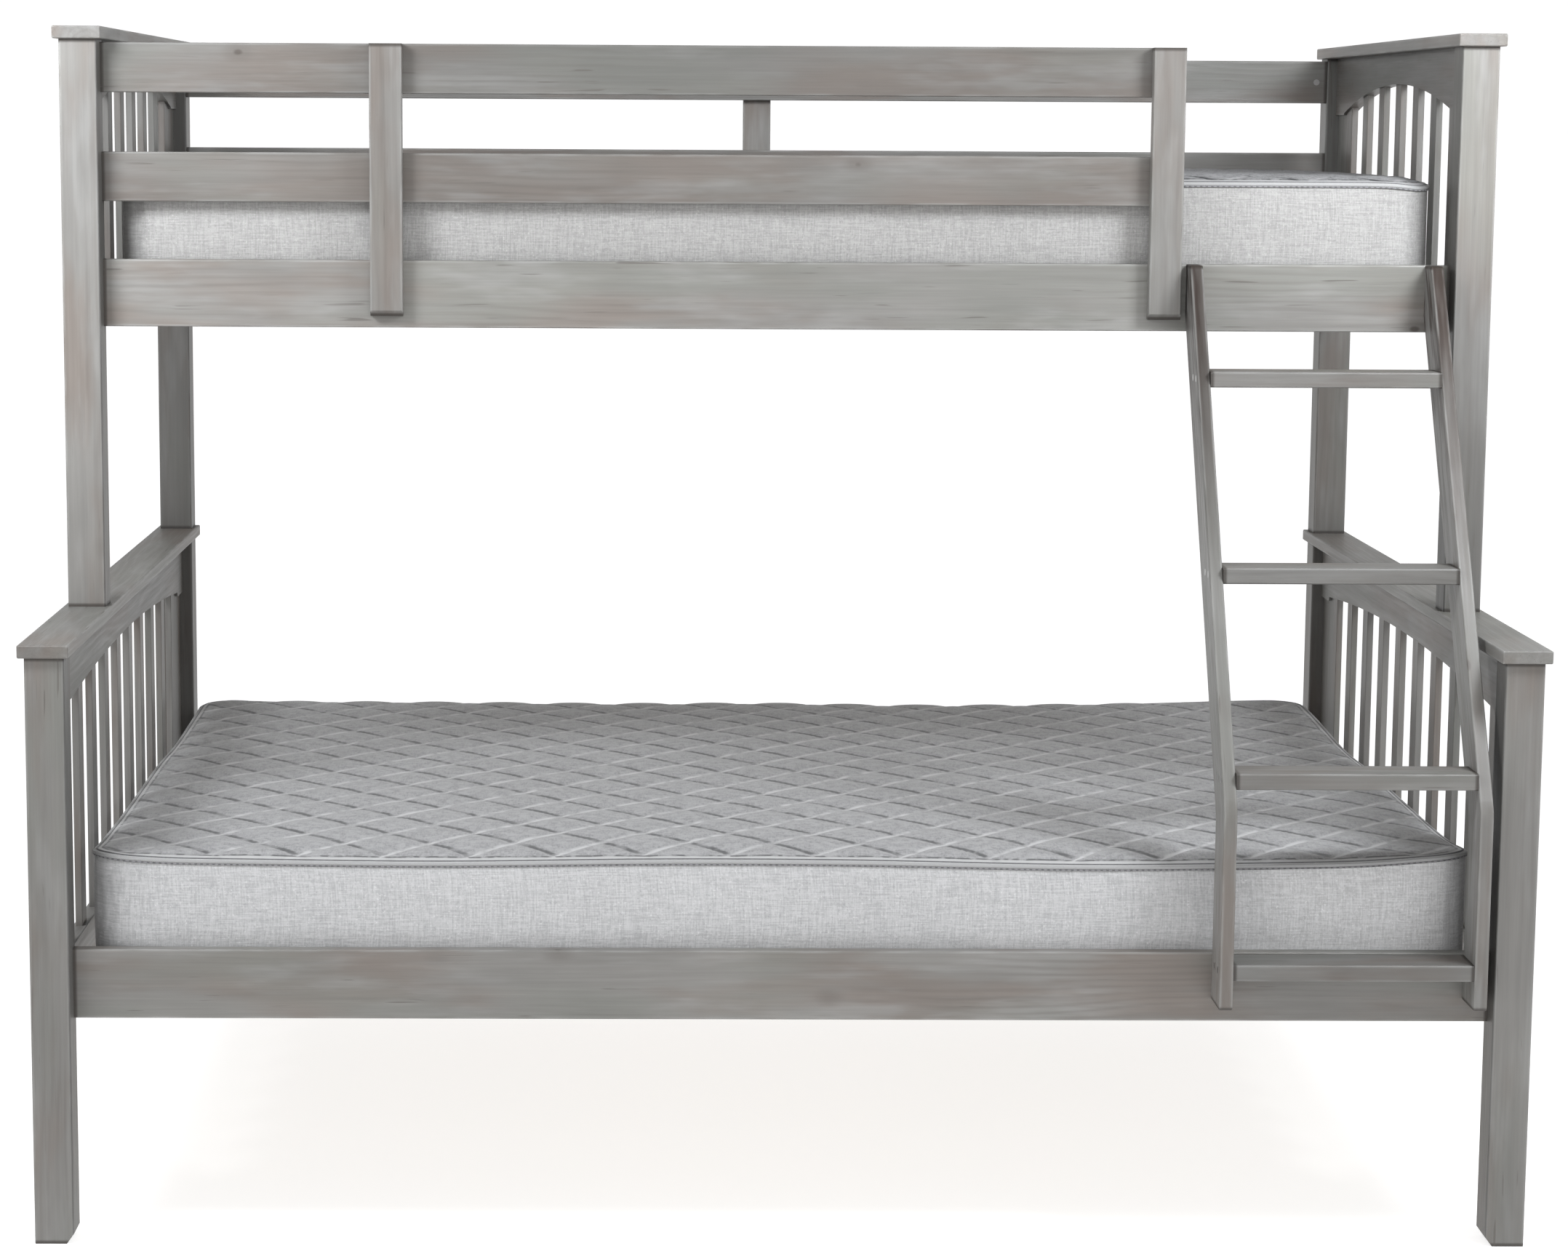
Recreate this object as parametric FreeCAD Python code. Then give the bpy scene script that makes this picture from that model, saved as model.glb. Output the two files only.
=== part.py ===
import FreeCAD, Part
import math
import os
from FreeCAD import Vector as V

# Twin-over-full bunk bed with a bolted ladder, millimetres, +Z up.
# X runs along the beds, the ladder side faces -Y, the floor is Z = 0.
# The origin is on the floor at the centre of the whole object's box.
os.makedirs("parts", exist_ok=True)

# ---------------------------------------------------------------- dimensions
LENGTH = 2019.0          # over the posts, both beds
DEPTH_LOWER = 1450.0     # full bed, over the posts
SETBACK = 385.0          # front of the upper posts behind the front of the lower posts
POST = 53.0              # square posts
POST_R = 2.5             # post arris radius
CAP_T = 17.5             # cap board thickness
CAP_OUT = 8.0            # cap overhang at the outside and at both ends
CAP_IN = 7.0             # cap overhang at the inside
LOWER_POST_TOP = 801.0
UPPER_POST_TOP = 1618.5
RAIL_T = 20.0            # side rails, guard boards, uprights, arched and end rails
RAIL_H = 95.0
RAIL_SET = 33.0          # rail face behind the post face
LOWER_RAIL_Z = 305.0     # underside of the lower side rails
UPPER_RAIL_Z = 1216.0
LEDGER_T = 20.0
LEDGER_H = 30.0
DECK_SLAT_T = 18.0
DECK_SLAT_W = 70.0
DECK_BELOW_RAIL_TOP = 34.0
END_RAIL_H = 75.0
SLAT_W = 38.0            # upright slats of the end panels
SLAT_T = 10.0
SLAT_GAP = 89.0
GUARD_H = 69.5
GUARD_LOW_Z = 1392.5
GUARD_HIGH_Z = 1545.0
UPRIGHT_W = 46.0
UPRIGHT_BOTTOM = 1233.0
UPRIGHT_LEFT_X = -554.5
UPRIGHT_RIGHT_X = 548.5
MATTRESS_L = 1880.0
MATTRESS_T = 152.0
MATTRESS_R = 45.0        # plan corner radius
MATTRESS_CLEAR = 0.5
STILE_T = 18.0
STILE_W = 70.0
STILE_LEFT_X = 580.5     # outer face of the left stile
STILE_RIGHT_X = 921.0    # inner face of the right stile
STILE_SLOPE = 0.593      # run per unit rise of the leaning part
STILE_KINK_Z = 607.5     # front edge leaves the vertical here
STILE_BOTTOM = 336.0
RUNG_T = 22.0
RUNG_Z = (376.0, 632.5, 889.0, 1145.5)
FOOT_CUT_X = 10.0        # chamfer on the inner edge of each foot
FOOT_CUT_Z = 14.0

DEPTH_UPPER = DEPTH_LOWER - SETBACK
HALF = LENGTH / 2.0
STILE_FRONT = RAIL_SET - STILE_W                       # front of the vertical part, from the post face
Y_SHIFT = -(STILE_FRONT + DEPTH_LOWER + CAP_OUT) / 2.0  # puts the box centre on Y = 0
Y0 = Y_SHIFT                                            # front face of the lower posts
YB = Y_SHIFT + DEPTH_LOWER                              # back face of all back posts
YU = Y_SHIFT + SETBACK                                  # front face of the upper front posts
PANEL_X = HALF - POST / 2.0                             # mid plane of the end panels
INNER_X = HALF - POST                                   # inner faces of the posts


# ---------------------------------------------------------------- helpers
def box(x0, x1, y0, y1, z0, z1):
    return Part.makeBox(x1 - x0, y1 - y0, z1 - z0, V(x0, y0, z0))


def round_rect(a0, a1, b0, b1, r):
    """Closed rounded rectangle wire in the XY plane."""
    e = []
    k = r * (1.0 - math.sqrt(0.5))
    e.append(Part.makeLine(V(a0 + r, b0, 0), V(a1 - r, b0, 0)))
    e.append(Part.Arc(V(a1 - r, b0, 0), V(a1 - k, b0 + k, 0), V(a1, b0 + r, 0)).toShape())
    e.append(Part.makeLine(V(a1, b0 + r, 0), V(a1, b1 - r, 0)))
    e.append(Part.Arc(V(a1, b1 - r, 0), V(a1 - k, b1 - k, 0), V(a1 - r, b1, 0)).toShape())
    e.append(Part.makeLine(V(a1 - r, b1, 0), V(a0 + r, b1, 0)))
    e.append(Part.Arc(V(a0 + r, b1, 0), V(a0 + k, b1 - k, 0), V(a0, b1 - r, 0)).toShape())
    e.append(Part.makeLine(V(a0, b1 - r, 0), V(a0, b0 + r, 0)))
    e.append(Part.Arc(V(a0, b0 + r, 0), V(a0 + k, b0 + k, 0), V(a0 + r, b0, 0)).toShape())
    return Part.Wire(e)


def board(axis, x0, x1, y0, y1, z0, z1, r=2.0):
    """Board with its four long edges rounded; axis is the grain direction."""
    if axis == "z":
        s = Part.Face(round_rect(x0, x1, y0, y1, r)).extrude(V(0, 0, z1 - z0))
        s.translate(V(0, 0, z0))
        return s
    if axis == "x":
        # section drawn as (y, z), then turned so that its normal is +X
        s = Part.Face(round_rect(y0, y1, z0, z1, r)).extrude(V(0, 0, x1 - x0))
        m = FreeCAD.Matrix(0, 0, 1, x0, 1, 0, 0, 0, 0, 1, 0, 0, 0, 0, 0, 1)
        return s.transformed(m)
    s = Part.Face(round_rect(z0, z1, x0, x1, r)).extrude(V(0, 0, y1 - y0))
    m = FreeCAD.Matrix(0, 1, 0, 0, 0, 0, 1, y0, 1, 0, 0, 0, 0, 0, 0, 1)
    return s.transformed(m)


def cyl(axis, cx, cy, cz, length, r):
    d = {"x": V(1, 0, 0), "y": V(0, 1, 0), "z": V(0, 0, 1),
         "-x": V(-1, 0, 0), "-y": V(0, -1, 0), "-z": V(0, 0, -1)}[axis]
    return Part.makeCylinder(r, length, V(cx, cy, cz), d)


def fuse(shapes):
    s = shapes[0]
    for t in shapes[1:]:
        s = s.fuse(t)
    return s.removeSplitter()


NODES = {}


def node(name, *solids):
    NODES[name] = list(solids)


# ---------------------------------------------------------------- posts
def post(xs, y_front, z0, z1, foot):
    """xs is -1 for the left end and +1 for the right end."""
    xa, xb = (-HALF, -HALF + POST) if xs < 0 else (HALF - POST, HALF)
    s = board("z", xa, xb, y_front, y_front + POST, z0, z1, POST_R)
    if foot:
        xi = xb if xs < 0 else xa
        t = Part.Face(Part.makePolygon([
            V(xi + xs * (FOOT_CUT_X), y_front - 5, z0 - 0.001), V(xi - xs * 5, y_front - 5, z0 - 0.001),
            V(xi - xs * 5, y_front - 5, z0 + FOOT_CUT_Z * 1.0 + 7.0), V(xi, y_front - 5, z0 + FOOT_CUT_Z),
            V(xi + xs * (FOOT_CUT_X), y_front - 5, z0 - 0.001)])).extrude(V(0, POST + 10, 0))
        s = s.cut(t)
    return s


for side, xs in (("left", -1), ("right", 1)):
    node("lower_post_front_" + side, post(xs, Y0, 0.0, LOWER_POST_TOP, True))
    node("lower_post_back_" + side, post(xs, YB - POST, 0.0, LOWER_POST_TOP, True))
    node("upper_post_front_" + side, post(xs, YU, LOWER_POST_TOP + CAP_T, UPPER_POST_TOP, False))
    node("upper_post_back_" + side, post(xs, YB - POST, LOWER_POST_TOP + CAP_T, UPPER_POST_TOP, False))


# ---------------------------------------------------------------- caps
def cap(xs, y_front, z):
    xo, xi = xs * (HALF + CAP_OUT), xs * (HALF - POST - CAP_IN)
    s = box(min(xo, xi), max(xo, xi), y_front - CAP_OUT, YB + CAP_OUT, z, z + CAP_T)
    return s.makeFillet(2.0, s.Edges)


for side, xs in (("left", -1), ("right", 1)):
    node("lower_cap_" + side, cap(xs, Y0, LOWER_POST_TOP))
    node("upper_cap_" + side, cap(xs, YU, UPPER_POST_TOP))


# ---------------------------------------------------------------- end panels
def arched_rail(xs, ya, yb, z_top, z_crown, sag_k, z_shoulder, shoulder):
    """Top rail between two posts with a shallow arch cut in its underside."""
    xa = xs * PANEL_X - RAIL_T / 2.0
    yc = (ya + yb) / 2.0
    half = (yb - ya) / 2.0 - shoulder
    z_end = z_crown - sag_k * half * half
    r = z_end - z_shoulder
    e = [Part.makeLine(V(xa, ya, z_shoulder), V(xa, ya, z_top)),
         Part.makeLine(V(xa, ya, z_top), V(xa, yb, z_top)),
         Part.makeLine(V(xa, yb, z_top), V(xa, yb, z_shoulder)),
         Part.makeLine(V(xa, yb, z_shoulder), V(xa, yc + half + r, z_shoulder))]
    k = r * math.sqrt(0.5)
    e.append(Part.Arc(V(xa, yc + half + r, z_shoulder),
                      V(xa, yc + half + r - k, z_end - k), V(xa, yc + half, z_end)).toShape())
    e.append(Part.Arc(V(xa, yc + half, z_end), V(xa, yc, z_crown), V(xa, yc - half, z_end)).toShape())
    e.append(Part.Arc(V(xa, yc - half, z_end),
                      V(xa, yc - half - r + k, z_end - k), V(xa, yc - half - r, z_shoulder)).toShape())
    e.append(Part.makeLine(V(xa, yc - half - r, z_shoulder), V(xa, ya, z_shoulder)))
    return Part.Face(Part.Wire(e)).extrude(V(RAIL_T, 0, 0))


def arch_z(y, yc, z_crown, sag_k):
    return z_crown - sag_k * (y - yc) ** 2


def panel(prefix, side, xs, y_front, n_slats, z_top, z_crown, sag_k, z_shoulder, z_rail):
    ya, yb = y_front + POST, YB - POST
    yc = (ya + yb) / 2.0
    top = arched_rail(xs, ya, yb, z_top, z_crown, sag_k, z_shoulder, 72.0)
    low = board("y", xs * PANEL_X - RAIL_T / 2.0, xs * PANEL_X + RAIL_T / 2.0, ya, yb, z_rail, z_rail + END_RAIL_H, 2.0)
    x0, x1 = xs * PANEL_X - SLAT_T / 2.0, xs * PANEL_X + SLAT_T / 2.0
    pitch = SLAT_W + SLAT_GAP
    slats = []
    for i in range(n_slats):
        y = yc + (i - (n_slats - 1) / 2.0) * pitch
        zt = arch_z(y, yc, z_crown, sag_k) + 14.0
        slats.append(board("z", x0, x1, y - SLAT_W / 2.0, y + SLAT_W / 2.0, z_rail + END_RAIL_H - 12.0, zt, 1.2))
    span = (n_slats - 1) / 2.0 * pitch + SLAT_W / 2.0 + SLAT_GAP
    for (a, b) in ((ya, yc - span), (yc + span, yb)):
        slats.append(board("z", x0, x1, a, b, z_rail + END_RAIL_H - 12.0, z_shoulder + 14.0, 1.2))
    for s in slats:
        top = top.cut(s)
        low = low.cut(s)
    node(prefix + "_arched_rail_" + side, top)
    node(prefix + "_end_rail_" + side, low)
    node(prefix + "_panel_slats_" + side, *slats)


LOWER_CROWN, LOWER_SAG, LOWER_SHOULDER = 742.0, 6.6e-5, 711.0
UPPER_CROWN, UPPER_SAG, UPPER_SHOULDER = 1571.5, 2.6e-4, 1525.5
for side, xs in (("left", -1), ("right", 1)):
    panel("lower", side, xs, Y0, 8, LOWER_POST_TOP, LOWER_CROWN, LOWER_SAG, LOWER_SHOULDER, LOWER_RAIL_Z + 1.0)
    panel("upper", side, xs, YU, 5, UPPER_POST_TOP, UPPER_CROWN, UPPER_SAG, UPPER_SHOULDER, UPPER_RAIL_Z + 1.0)


# ---------------------------------------------------------------- side rails, ledgers and deck slats
def side_structure(prefix, y_front, rail_z, n_slats):
    ra, rb = y_front + RAIL_SET, y_front + RAIL_SET + RAIL_T
    ba, bb = YB - RAIL_SET - RAIL_T, YB - RAIL_SET
    node(prefix + "_side_rail_front", board("x", -INNER_X, INNER_X, ra, rb, rail_z, rail_z + RAIL_H, 2.0))
    node(prefix + "_side_rail_back", board("x", -INNER_X, INNER_X, ba, bb, rail_z, rail_z + RAIL_H, 2.0))
    deck = rail_z + RAIL_H - DECK_BELOW_RAIL_TOP
    lz = deck - DECK_SLAT_T - LEDGER_H
    lx = INNER_X - 12.0
    node(prefix + "_ledger_front", board("x", -lx, lx, rb, rb + LEDGER_T, lz, lz + LEDGER_H, 1.5))
    node(prefix + "_ledger_back", board("x", -lx, lx, ba - LEDGER_T, ba, lz, lz + LEDGER_H, 1.5))
    pitch = (MATTRESS_L - 30.0 - DECK_SLAT_W) / (n_slats - 1)
    slats = []
    for i in range(n_slats):
        x = (i - (n_slats - 1) / 2.0) * pitch
        slats.append(board("y", x - DECK_SLAT_W / 2.0, x + DECK_SLAT_W / 2.0, rb + 1.0, ba - 1.0,
                           deck - DECK_SLAT_T, deck, 1.5))
    node(prefix + "_deck_slats", *slats)
    m = Part.Face(round_rect(-MATTRESS_L / 2.0, MATTRESS_L / 2.0, rb + MATTRESS_CLEAR, ba - MATTRESS_CLEAR,
                             MATTRESS_R)).extrude(V(0, 0, MATTRESS_T))
    m.translate(V(0, 0, deck + MATTRESS_CLEAR))
    top_bottom = [e for e in m.Edges if abs(e.BoundBox.ZMin - e.BoundBox.ZMax) < 1e-6]
    node(prefix + "_mattress", m.makeFillet(9.0, top_bottom))
    return ra, rb, ba, bb, lz, deck


LO = side_structure("lower", Y0, LOWER_RAIL_Z, 13)
UP = side_structure("upper", YU, UPPER_RAIL_Z, 13)

# ---------------------------------------------------------------- guards
RA, RB, BA, BB = UP[0], UP[1], UP[2], UP[3]
GUARD_END_X = UPRIGHT_RIGHT_X + UPRIGHT_W / 2.0 - 3.0
node("guard_board_front_low", board("x", -INNER_X, GUARD_END_X, RA, RB, GUARD_LOW_Z, GUARD_LOW_Z + GUARD_H, 2.0))
node("guard_board_front_high", board("x", -INNER_X, GUARD_END_X, RA, RB, GUARD_HIGH_Z, GUARD_HIGH_Z + GUARD_H, 2.0))
node("guard_board_back_low", board("x", -INNER_X, INNER_X, BA, BB, GUARD_LOW_Z, GUARD_LOW_Z + GUARD_H, 2.0))
node("guard_board_back_high", board("x", -INNER_X, INNER_X, BA, BB, GUARD_HIGH_Z, GUARD_HIGH_Z + GUARD_H, 2.0))


def upright(xc, y_face, outward):
    """Flat upright on the outside of the rail and guard boards; outward is -1 (front) or +1 (back)."""
    ya, yb = sorted((y_face, y_face + outward * RAIL_T))
    s = board("z", xc - UPRIGHT_W / 2.0, xc + UPRIGHT_W / 2.0, ya, yb, UPRIGHT_BOTTOM, GUARD_HIGH_Z + GUARD_H, 2.0)
    yo = y_face + outward * RAIL_T
    # the lower outer edge is eased back with a long chamfer
    t = Part.Face(Part.makePolygon([
        V(xc - UPRIGHT_W, yo + outward * 4.0, UPRIGHT_BOTTOM - 1.0), V(xc - UPRIGHT_W, yo - outward * 7.0, UPRIGHT_BOTTOM - 1.0),
        V(xc - UPRIGHT_W, yo - outward * 6.0, UPRIGHT_BOTTOM), V(xc - UPRIGHT_W, yo, UPRIGHT_BOTTOM + 8.0),
        V(xc - UPRIGHT_W, yo + outward * 4.0, UPRIGHT_BOTTOM + 13.3),
        V(xc - UPRIGHT_W, yo + outward * 4.0, UPRIGHT_BOTTOM - 1.0)])).extrude(V(2 * UPRIGHT_W, 0, 0))
    return s.cut(t)


node("guard_upright_front_left", upright(UPRIGHT_LEFT_X, RA, -1))
node("guard_upright_front_right", upright(UPRIGHT_RIGHT_X, RA, -1))
node("guard_upright_back", upright(0.4, BB, 1))

# ---------------------------------------------------------------- ladder
RAIL_FACE_LOWER = LO[0]
RAIL_FACE_UPPER = UP[0]
SY = Y_SHIFT + STILE_FRONT                       # front edge of the vertical part
HB = STILE_W * math.sqrt(1.0 + STILE_SLOPE ** 2)  # level width of the leaning part
STILE_TOP = UPPER_RAIL_Z + RAIL_H


def front_y(z):
    return SY + (STILE_SLOPE * (z - STILE_KINK_Z) if z > STILE_KINK_Z else 0.0)


def back_y(z):
    return min(max(SY + STILE_W, SY + STILE_SLOPE * (z - STILE_KINK_Z) + HB), RAIL_FACE_UPPER)


Z_BACK_KINK = STILE_KINK_Z + (STILE_W - HB) / STILE_SLOPE
Z_PLUMB = STILE_KINK_Z + (RAIL_FACE_UPPER - SY - HB) / STILE_SLOPE


def stile(x0):
    pts = [V(x0, SY, STILE_BOTTOM), V(x0, SY, STILE_KINK_Z), V(x0, front_y(STILE_TOP), STILE_TOP),
           V(x0, RAIL_FACE_UPPER, STILE_TOP), V(x0, RAIL_FACE_UPPER, Z_PLUMB),
           V(x0, SY + STILE_W, Z_BACK_KINK), V(x0, SY + STILE_W, STILE_BOTTOM), V(x0, SY, STILE_BOTTOM)]
    s = Part.Face(Part.makePolygon(pts)).extrude(V(STILE_T, 0, 0))

    def across(y, z):
        out = []
        for e in s.Edges:
            b = e.BoundBox
            if b.XLength > STILE_T - 0.01 and abs(b.YMin - y) < 0.01 and abs(b.ZMin - z) < 0.01:
                out.append(e)
        return out
    s = s.makeFillet(55.0, across(SY, STILE_KINK_Z))
    s = s.makeFillet(30.0, across(SY + STILE_W, Z_BACK_KINK))
    s = s.makeFillet(4.0, across(SY, STILE_BOTTOM) + across(front_y(STILE_TOP), STILE_TOP))
    # ease the long arrises
    ease = []
    for e in s.Edges:
        b = e.BoundBox
        if b.XLength < 0.01 and b.YMax < RAIL_FACE_UPPER - 0.5:
            if not (abs(b.YMin - (SY + STILE_W)) < 0.01 and abs(b.YMax - (SY + STILE_W)) < 0.01):
                ease.append(e)
    try:
        s = s.makeFillet(1.8, ease)
    except Exception:
        pass
    return s


stile_l = stile(STILE_LEFT_X)
stile_r = stile(STILE_RIGHT_X)
rungs = []
for z in RUNG_Z:
    yf = front_y(z) + 1.5
    depth = 66.0
    rungs.append(board("x", STILE_LEFT_X + STILE_T, STILE_RIGHT_X, yf, yf + depth, z, z + RUNG_T, 2.5))

# ---------------------------------------------------------------- fasteners
BOLT_R, HEAD_R, HEAD_T, NUT_R = 3.0, 8.5, 2.0, 5.0
bolts, nuts = [], []


def joint_bolt(xs, y_mid, z, post_outer_x, reach, nut_y0, nut_axis):
    """Bolt from the outer face of a post into a barrel nut in the end of a rail."""
    d = "x" if xs < 0 else "-x"
    head = cyl("-x" if xs < 0 else "x", post_outer_x, y_mid, z, HEAD_T, HEAD_R)
    shank = cyl(d, post_outer_x, y_mid, z, reach, BOLT_R)
    sock = Part.makeCylinder(2.5, 1.4, V(post_outer_x + xs * HEAD_T, y_mid, z), V(-xs, 0, 0))
    bolt = head.fuse(shank).removeSplitter().cut(sock)
    nx = xs * (INNER_X - 17.5)
    nut = cyl(nut_axis, nx, nut_y0, z, 14.0, NUT_R)
    nut = nut.cut(shank)
    inward = 1.0 if nut_axis == "y" else -1.0
    slot = box(nx - 3.5, nx + 3.5, min(nut_y0, nut_y0 + inward), max(nut_y0, nut_y0 + inward), z - 0.6, z + 0.6)
    nut = nut.cut(slot)
    bolts.append(bolt)
    nuts.append(nut)
    return shank, cyl(nut_axis, nx, nut_y0, z, 14.0, NUT_R)


cuts = {}


def add_cut(name, *tools):
    cuts.setdefault(name, []).extend(tools)


REACH = POST + 25.0
for side, xs in (("left", -1), ("right", 1)):
    for prefix, rail_z, st in (("lower", LOWER_RAIL_Z, LO), ("upper", UPPER_RAIL_Z, UP)):
        for fb, ym, ny, na in (("front", st[0] + RAIL_T / 2.0, st[1], "-y"), ("back", st[2] + RAIL_T / 2.0, st[2], "y")):
            for dz in (24.0, RAIL_H - 24.0):
                sh, nc = joint_bolt(xs, ym, rail_z + dz, xs * HALF, REACH, ny, na)
                add_cut(prefix + "_post_" + fb + "_" + side, sh)
                add_cut(prefix + "_side_rail_" + fb, sh, nc)
    for lh, gz in (("low", GUARD_LOW_Z), ("high", GUARD_HIGH_Z)):
        zc = gz + GUARD_H / 2.0
        sh, nc = joint_bolt(xs, UP[2] + RAIL_T / 2.0, zc, xs * HALF, REACH, UP[2], "y")
        add_cut("upper_post_back_" + side, sh)
        add_cut("guard_board_back_" + lh, sh, nc)
        if xs < 0:
            sh, nc = joint_bolt(xs, UP[0] + RAIL_T / 2.0, zc, xs * HALF, REACH, UP[1], "-y")
            add_cut("upper_post_front_" + side, sh)
            add_cut("guard_board_front_" + lh, sh, nc)

# steel pins that locate the upper posts on the lower ones, through the cap boards
PIN_R, PIN_UP, PIN_DOWN = 6.0, 38.0, 38.0
pins = []
for xs, side in ((-1, "left"), (1, "right")):
    for fb, yc in (("front", YU + POST / 2.0), ("back", YB - POST / 2.0)):
        x = xs * PANEL_X
        z0 = LOWER_POST_TOP - (PIN_DOWN if fb == "back" else 22.0)
        p = Part.makeCylinder(PIN_R, LOWER_POST_TOP + CAP_T + PIN_UP - z0, V(x, yc, z0))
        p = p.makeChamfer(1.5, [e for e in p.Edges if abs(e.BoundBox.ZLength) < 1e-6])
        pins.append(p)
        add_cut("upper_post_" + fb + "_" + side, p)
        add_cut("lower_cap_" + side, p)
        add_cut("lower_post_back_" + side if fb == "back" else "lower_arched_rail_" + side, p)

# dowels between end rails, arched rails and posts
dowels = []
for prefix, y_front, z_top, z_rail in (("lower", Y0, LOWER_POST_TOP, LOWER_RAIL_Z + 1.0),
                                       ("upper", YU, UPPER_POST_TOP, UPPER_RAIL_Z + 1.0)):
    for xs, side in ((-1, "left"), (1, "right")):
        for fb, yj in (("front", y_front + POST), ("back", YB - POST)):
            for zz, rail in ((z_top - 20.0, "_arched_rail_"), (z_top - 58.0, "_arched_rail_"),
                             (z_rail + 9.0, "_end_rail_"), (z_rail + 45.0, "_end_rail_")):
                d = cyl("y", xs * PANEL_X, yj - 20.0, zz, 40.0, 5.0)
                dowels.append(d)
                add_cut(prefix + "_post_" + fb + "_" + side, d)
                add_cut(prefix + rail + side, d)


def csk_screw(x, y, z, direction, length, r=2.0, rh=4.2):
    """Countersunk screw; (x, y, z) is the centre of the head's flat face, direction the way it is driven."""
    d = V(*direction)
    head = Part.makeCone(rh, r, rh - r, V(x, y, z), d)
    shank = Part.makeCylinder(r, length, V(x, y, z), d)
    s = head.fuse(shank).removeSplitter()
    return s


# ledger screws, driven from the inside of each ledger into the rail
ledger_screws = []
for prefix, st in (("lower", LO), ("upper", UP)):
    lz = st[4] + LEDGER_H / 2.0
    for i in range(7):
        x = -840.0 + i * 280.0
        a = csk_screw(x, st[1] + LEDGER_T, lz, (0, -1, 0), 34.0)
        b = csk_screw(x, st[2] - LEDGER_T, lz, (0, 1, 0), 34.0)
        ledger_screws += [a, b]
        add_cut(prefix + "_ledger_front", a)
        add_cut(prefix + "_side_rail_front", a)
        add_cut(prefix + "_ledger_back", b)
        add_cut(prefix + "_side_rail_back", b)
# deck slat screws, two per slat
deck_screws = []
for prefix, st in (("lower", LO), ("upper", UP)):
    pitch = (MATTRESS_L - 30.0 - DECK_SLAT_W) / 12.0
    for i in range(13):
        x = (i - 6.0) * pitch
        if abs(abs((x + 840.0) % 280.0) - 0.0) < 6.0 or abs(abs((x + 840.0) % 280.0) - 280.0) < 6.0:
            x += 9.0
        for y in (st[1] + 11.0, st[2] - 11.0):
            s = csk_screw(x, y, st[5], (0, 0, -1), 30.0, 1.75, 3.8)
            deck_screws.append(s)
            add_cut(prefix + "_deck_slats", s)
            add_cut(prefix + ("_ledger_front" if y < 0 or y == st[1] + 11.0 else "_ledger_back"), s)

# guard screws: from the inside of the boards and rail into the uprights
guard_screws = []
for xc, yin, nout, fb in ((UPRIGHT_LEFT_X, RB, -1, "front"), (UPRIGHT_RIGHT_X, RB, -1, "front"), (0.4, BA, 1, "back")):
    up_name = {UPRIGHT_LEFT_X: "guard_upright_front_left", UPRIGHT_RIGHT_X: "guard_upright_front_right",
               0.4: "guard_upright_back"}[xc]
    for target, z in (("guard_board_" + fb + "_low", GUARD_LOW_Z + GUARD_H / 2.0),
                      ("guard_board_" + fb + "_high", GUARD_HIGH_Z + GUARD_H / 2.0),
                      ("upper_side_rail_" + fb, UPPER_RAIL_Z + RAIL_H - 20.0)):
        for dx in (-11.0, 11.0):
            s = csk_screw(xc + dx, yin, z, (0, nout, 0), 34.0, 2.0, 4.2)
            guard_screws.append(s)
            add_cut(target, s)
            add_cut(up_name, s)

# ladder: rung screws through the stiles, and bolts through the side rails into the stiles
ladder_screws = []
for z in RUNG_Z:
    yf = front_y(z) + 1.5
    for dy in (20.0, 46.0):
        a = csk_screw(STILE_LEFT_X, yf + dy, z + RUNG_T / 2.0, (1, 0, 0), 50.0, 2.5, 4.8)
        b = csk_screw(STILE_RIGHT_X + STILE_T, yf + dy, z + RUNG_T / 2.0, (-1, 0, 0), 50.0, 2.5, 4.8)
        ladder_screws += [a, b]
        add_cut("ladder_stile_left", a)
        add_cut("ladder_stile_right", b)
        add_cut("ladder_rung_%d" % (RUNG_Z.index(z) + 1), a, b)
ladder_bolts = []
for name, x0 in (("ladder_stile_left", STILE_LEFT_X), ("ladder_stile_right", STILE_RIGHT_X)):
    xm = x0 + STILE_T / 2.0
    for rail, yin, z in (("lower_side_rail_front", LO[1], 355.0), ("upper_side_rail_front", UP[1], 1268.0)):
        head = Part.makeCylinder(6.0, 2.0, V(xm, yin, z), V(0, -1, 0))
        shank = Part.makeCylinder(3.0, RAIL_T + 24.0, V(xm, yin, z), V(0, -1, 0))
        b = head.fuse(shank).removeSplitter()
        ladder_bolts.append(b)
        add_cut(rail, b)
        add_cut(name, b)

# upright dowels that hold the caps on the posts
for prefix, y_front, z_top in (("lower", Y0, LOWER_POST_TOP), ("upper", YU, UPPER_POST_TOP)):
    for xs, side in ((-1, "left"), (1, "right")):
        for yc in (y_front + POST / 2.0, YB - POST / 2.0):
            d = cyl("z", xs * PANEL_X + 14.0 * xs, yc, z_top - 24.0, 34.0, 4.0)
            dowels.append(d)
            add_cut(prefix + "_cap_" + side, d)
            add_cut(prefix + "_post_" + ("front" if yc < (y_front + YB) / 2.0 else "back") + "_" + side, d)

node("ladder_stile_left", stile_l)
node("ladder_stile_right", stile_r)
for i, r in enumerate(rungs):
    node("ladder_rung_%d" % (i + 1), r)
node("side_rail_bolts", *bolts)
node("barrel_nuts", *nuts)
node("stacking_pins", *pins)
node("wood_dowels", *dowels)
node("ledger_screws", *ledger_screws)
node("deck_slat_screws", *deck_screws)
node("guard_screws", *guard_screws)
node("ladder_rung_screws", *ladder_screws)
node("ladder_bolts", *ladder_bolts)

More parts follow.
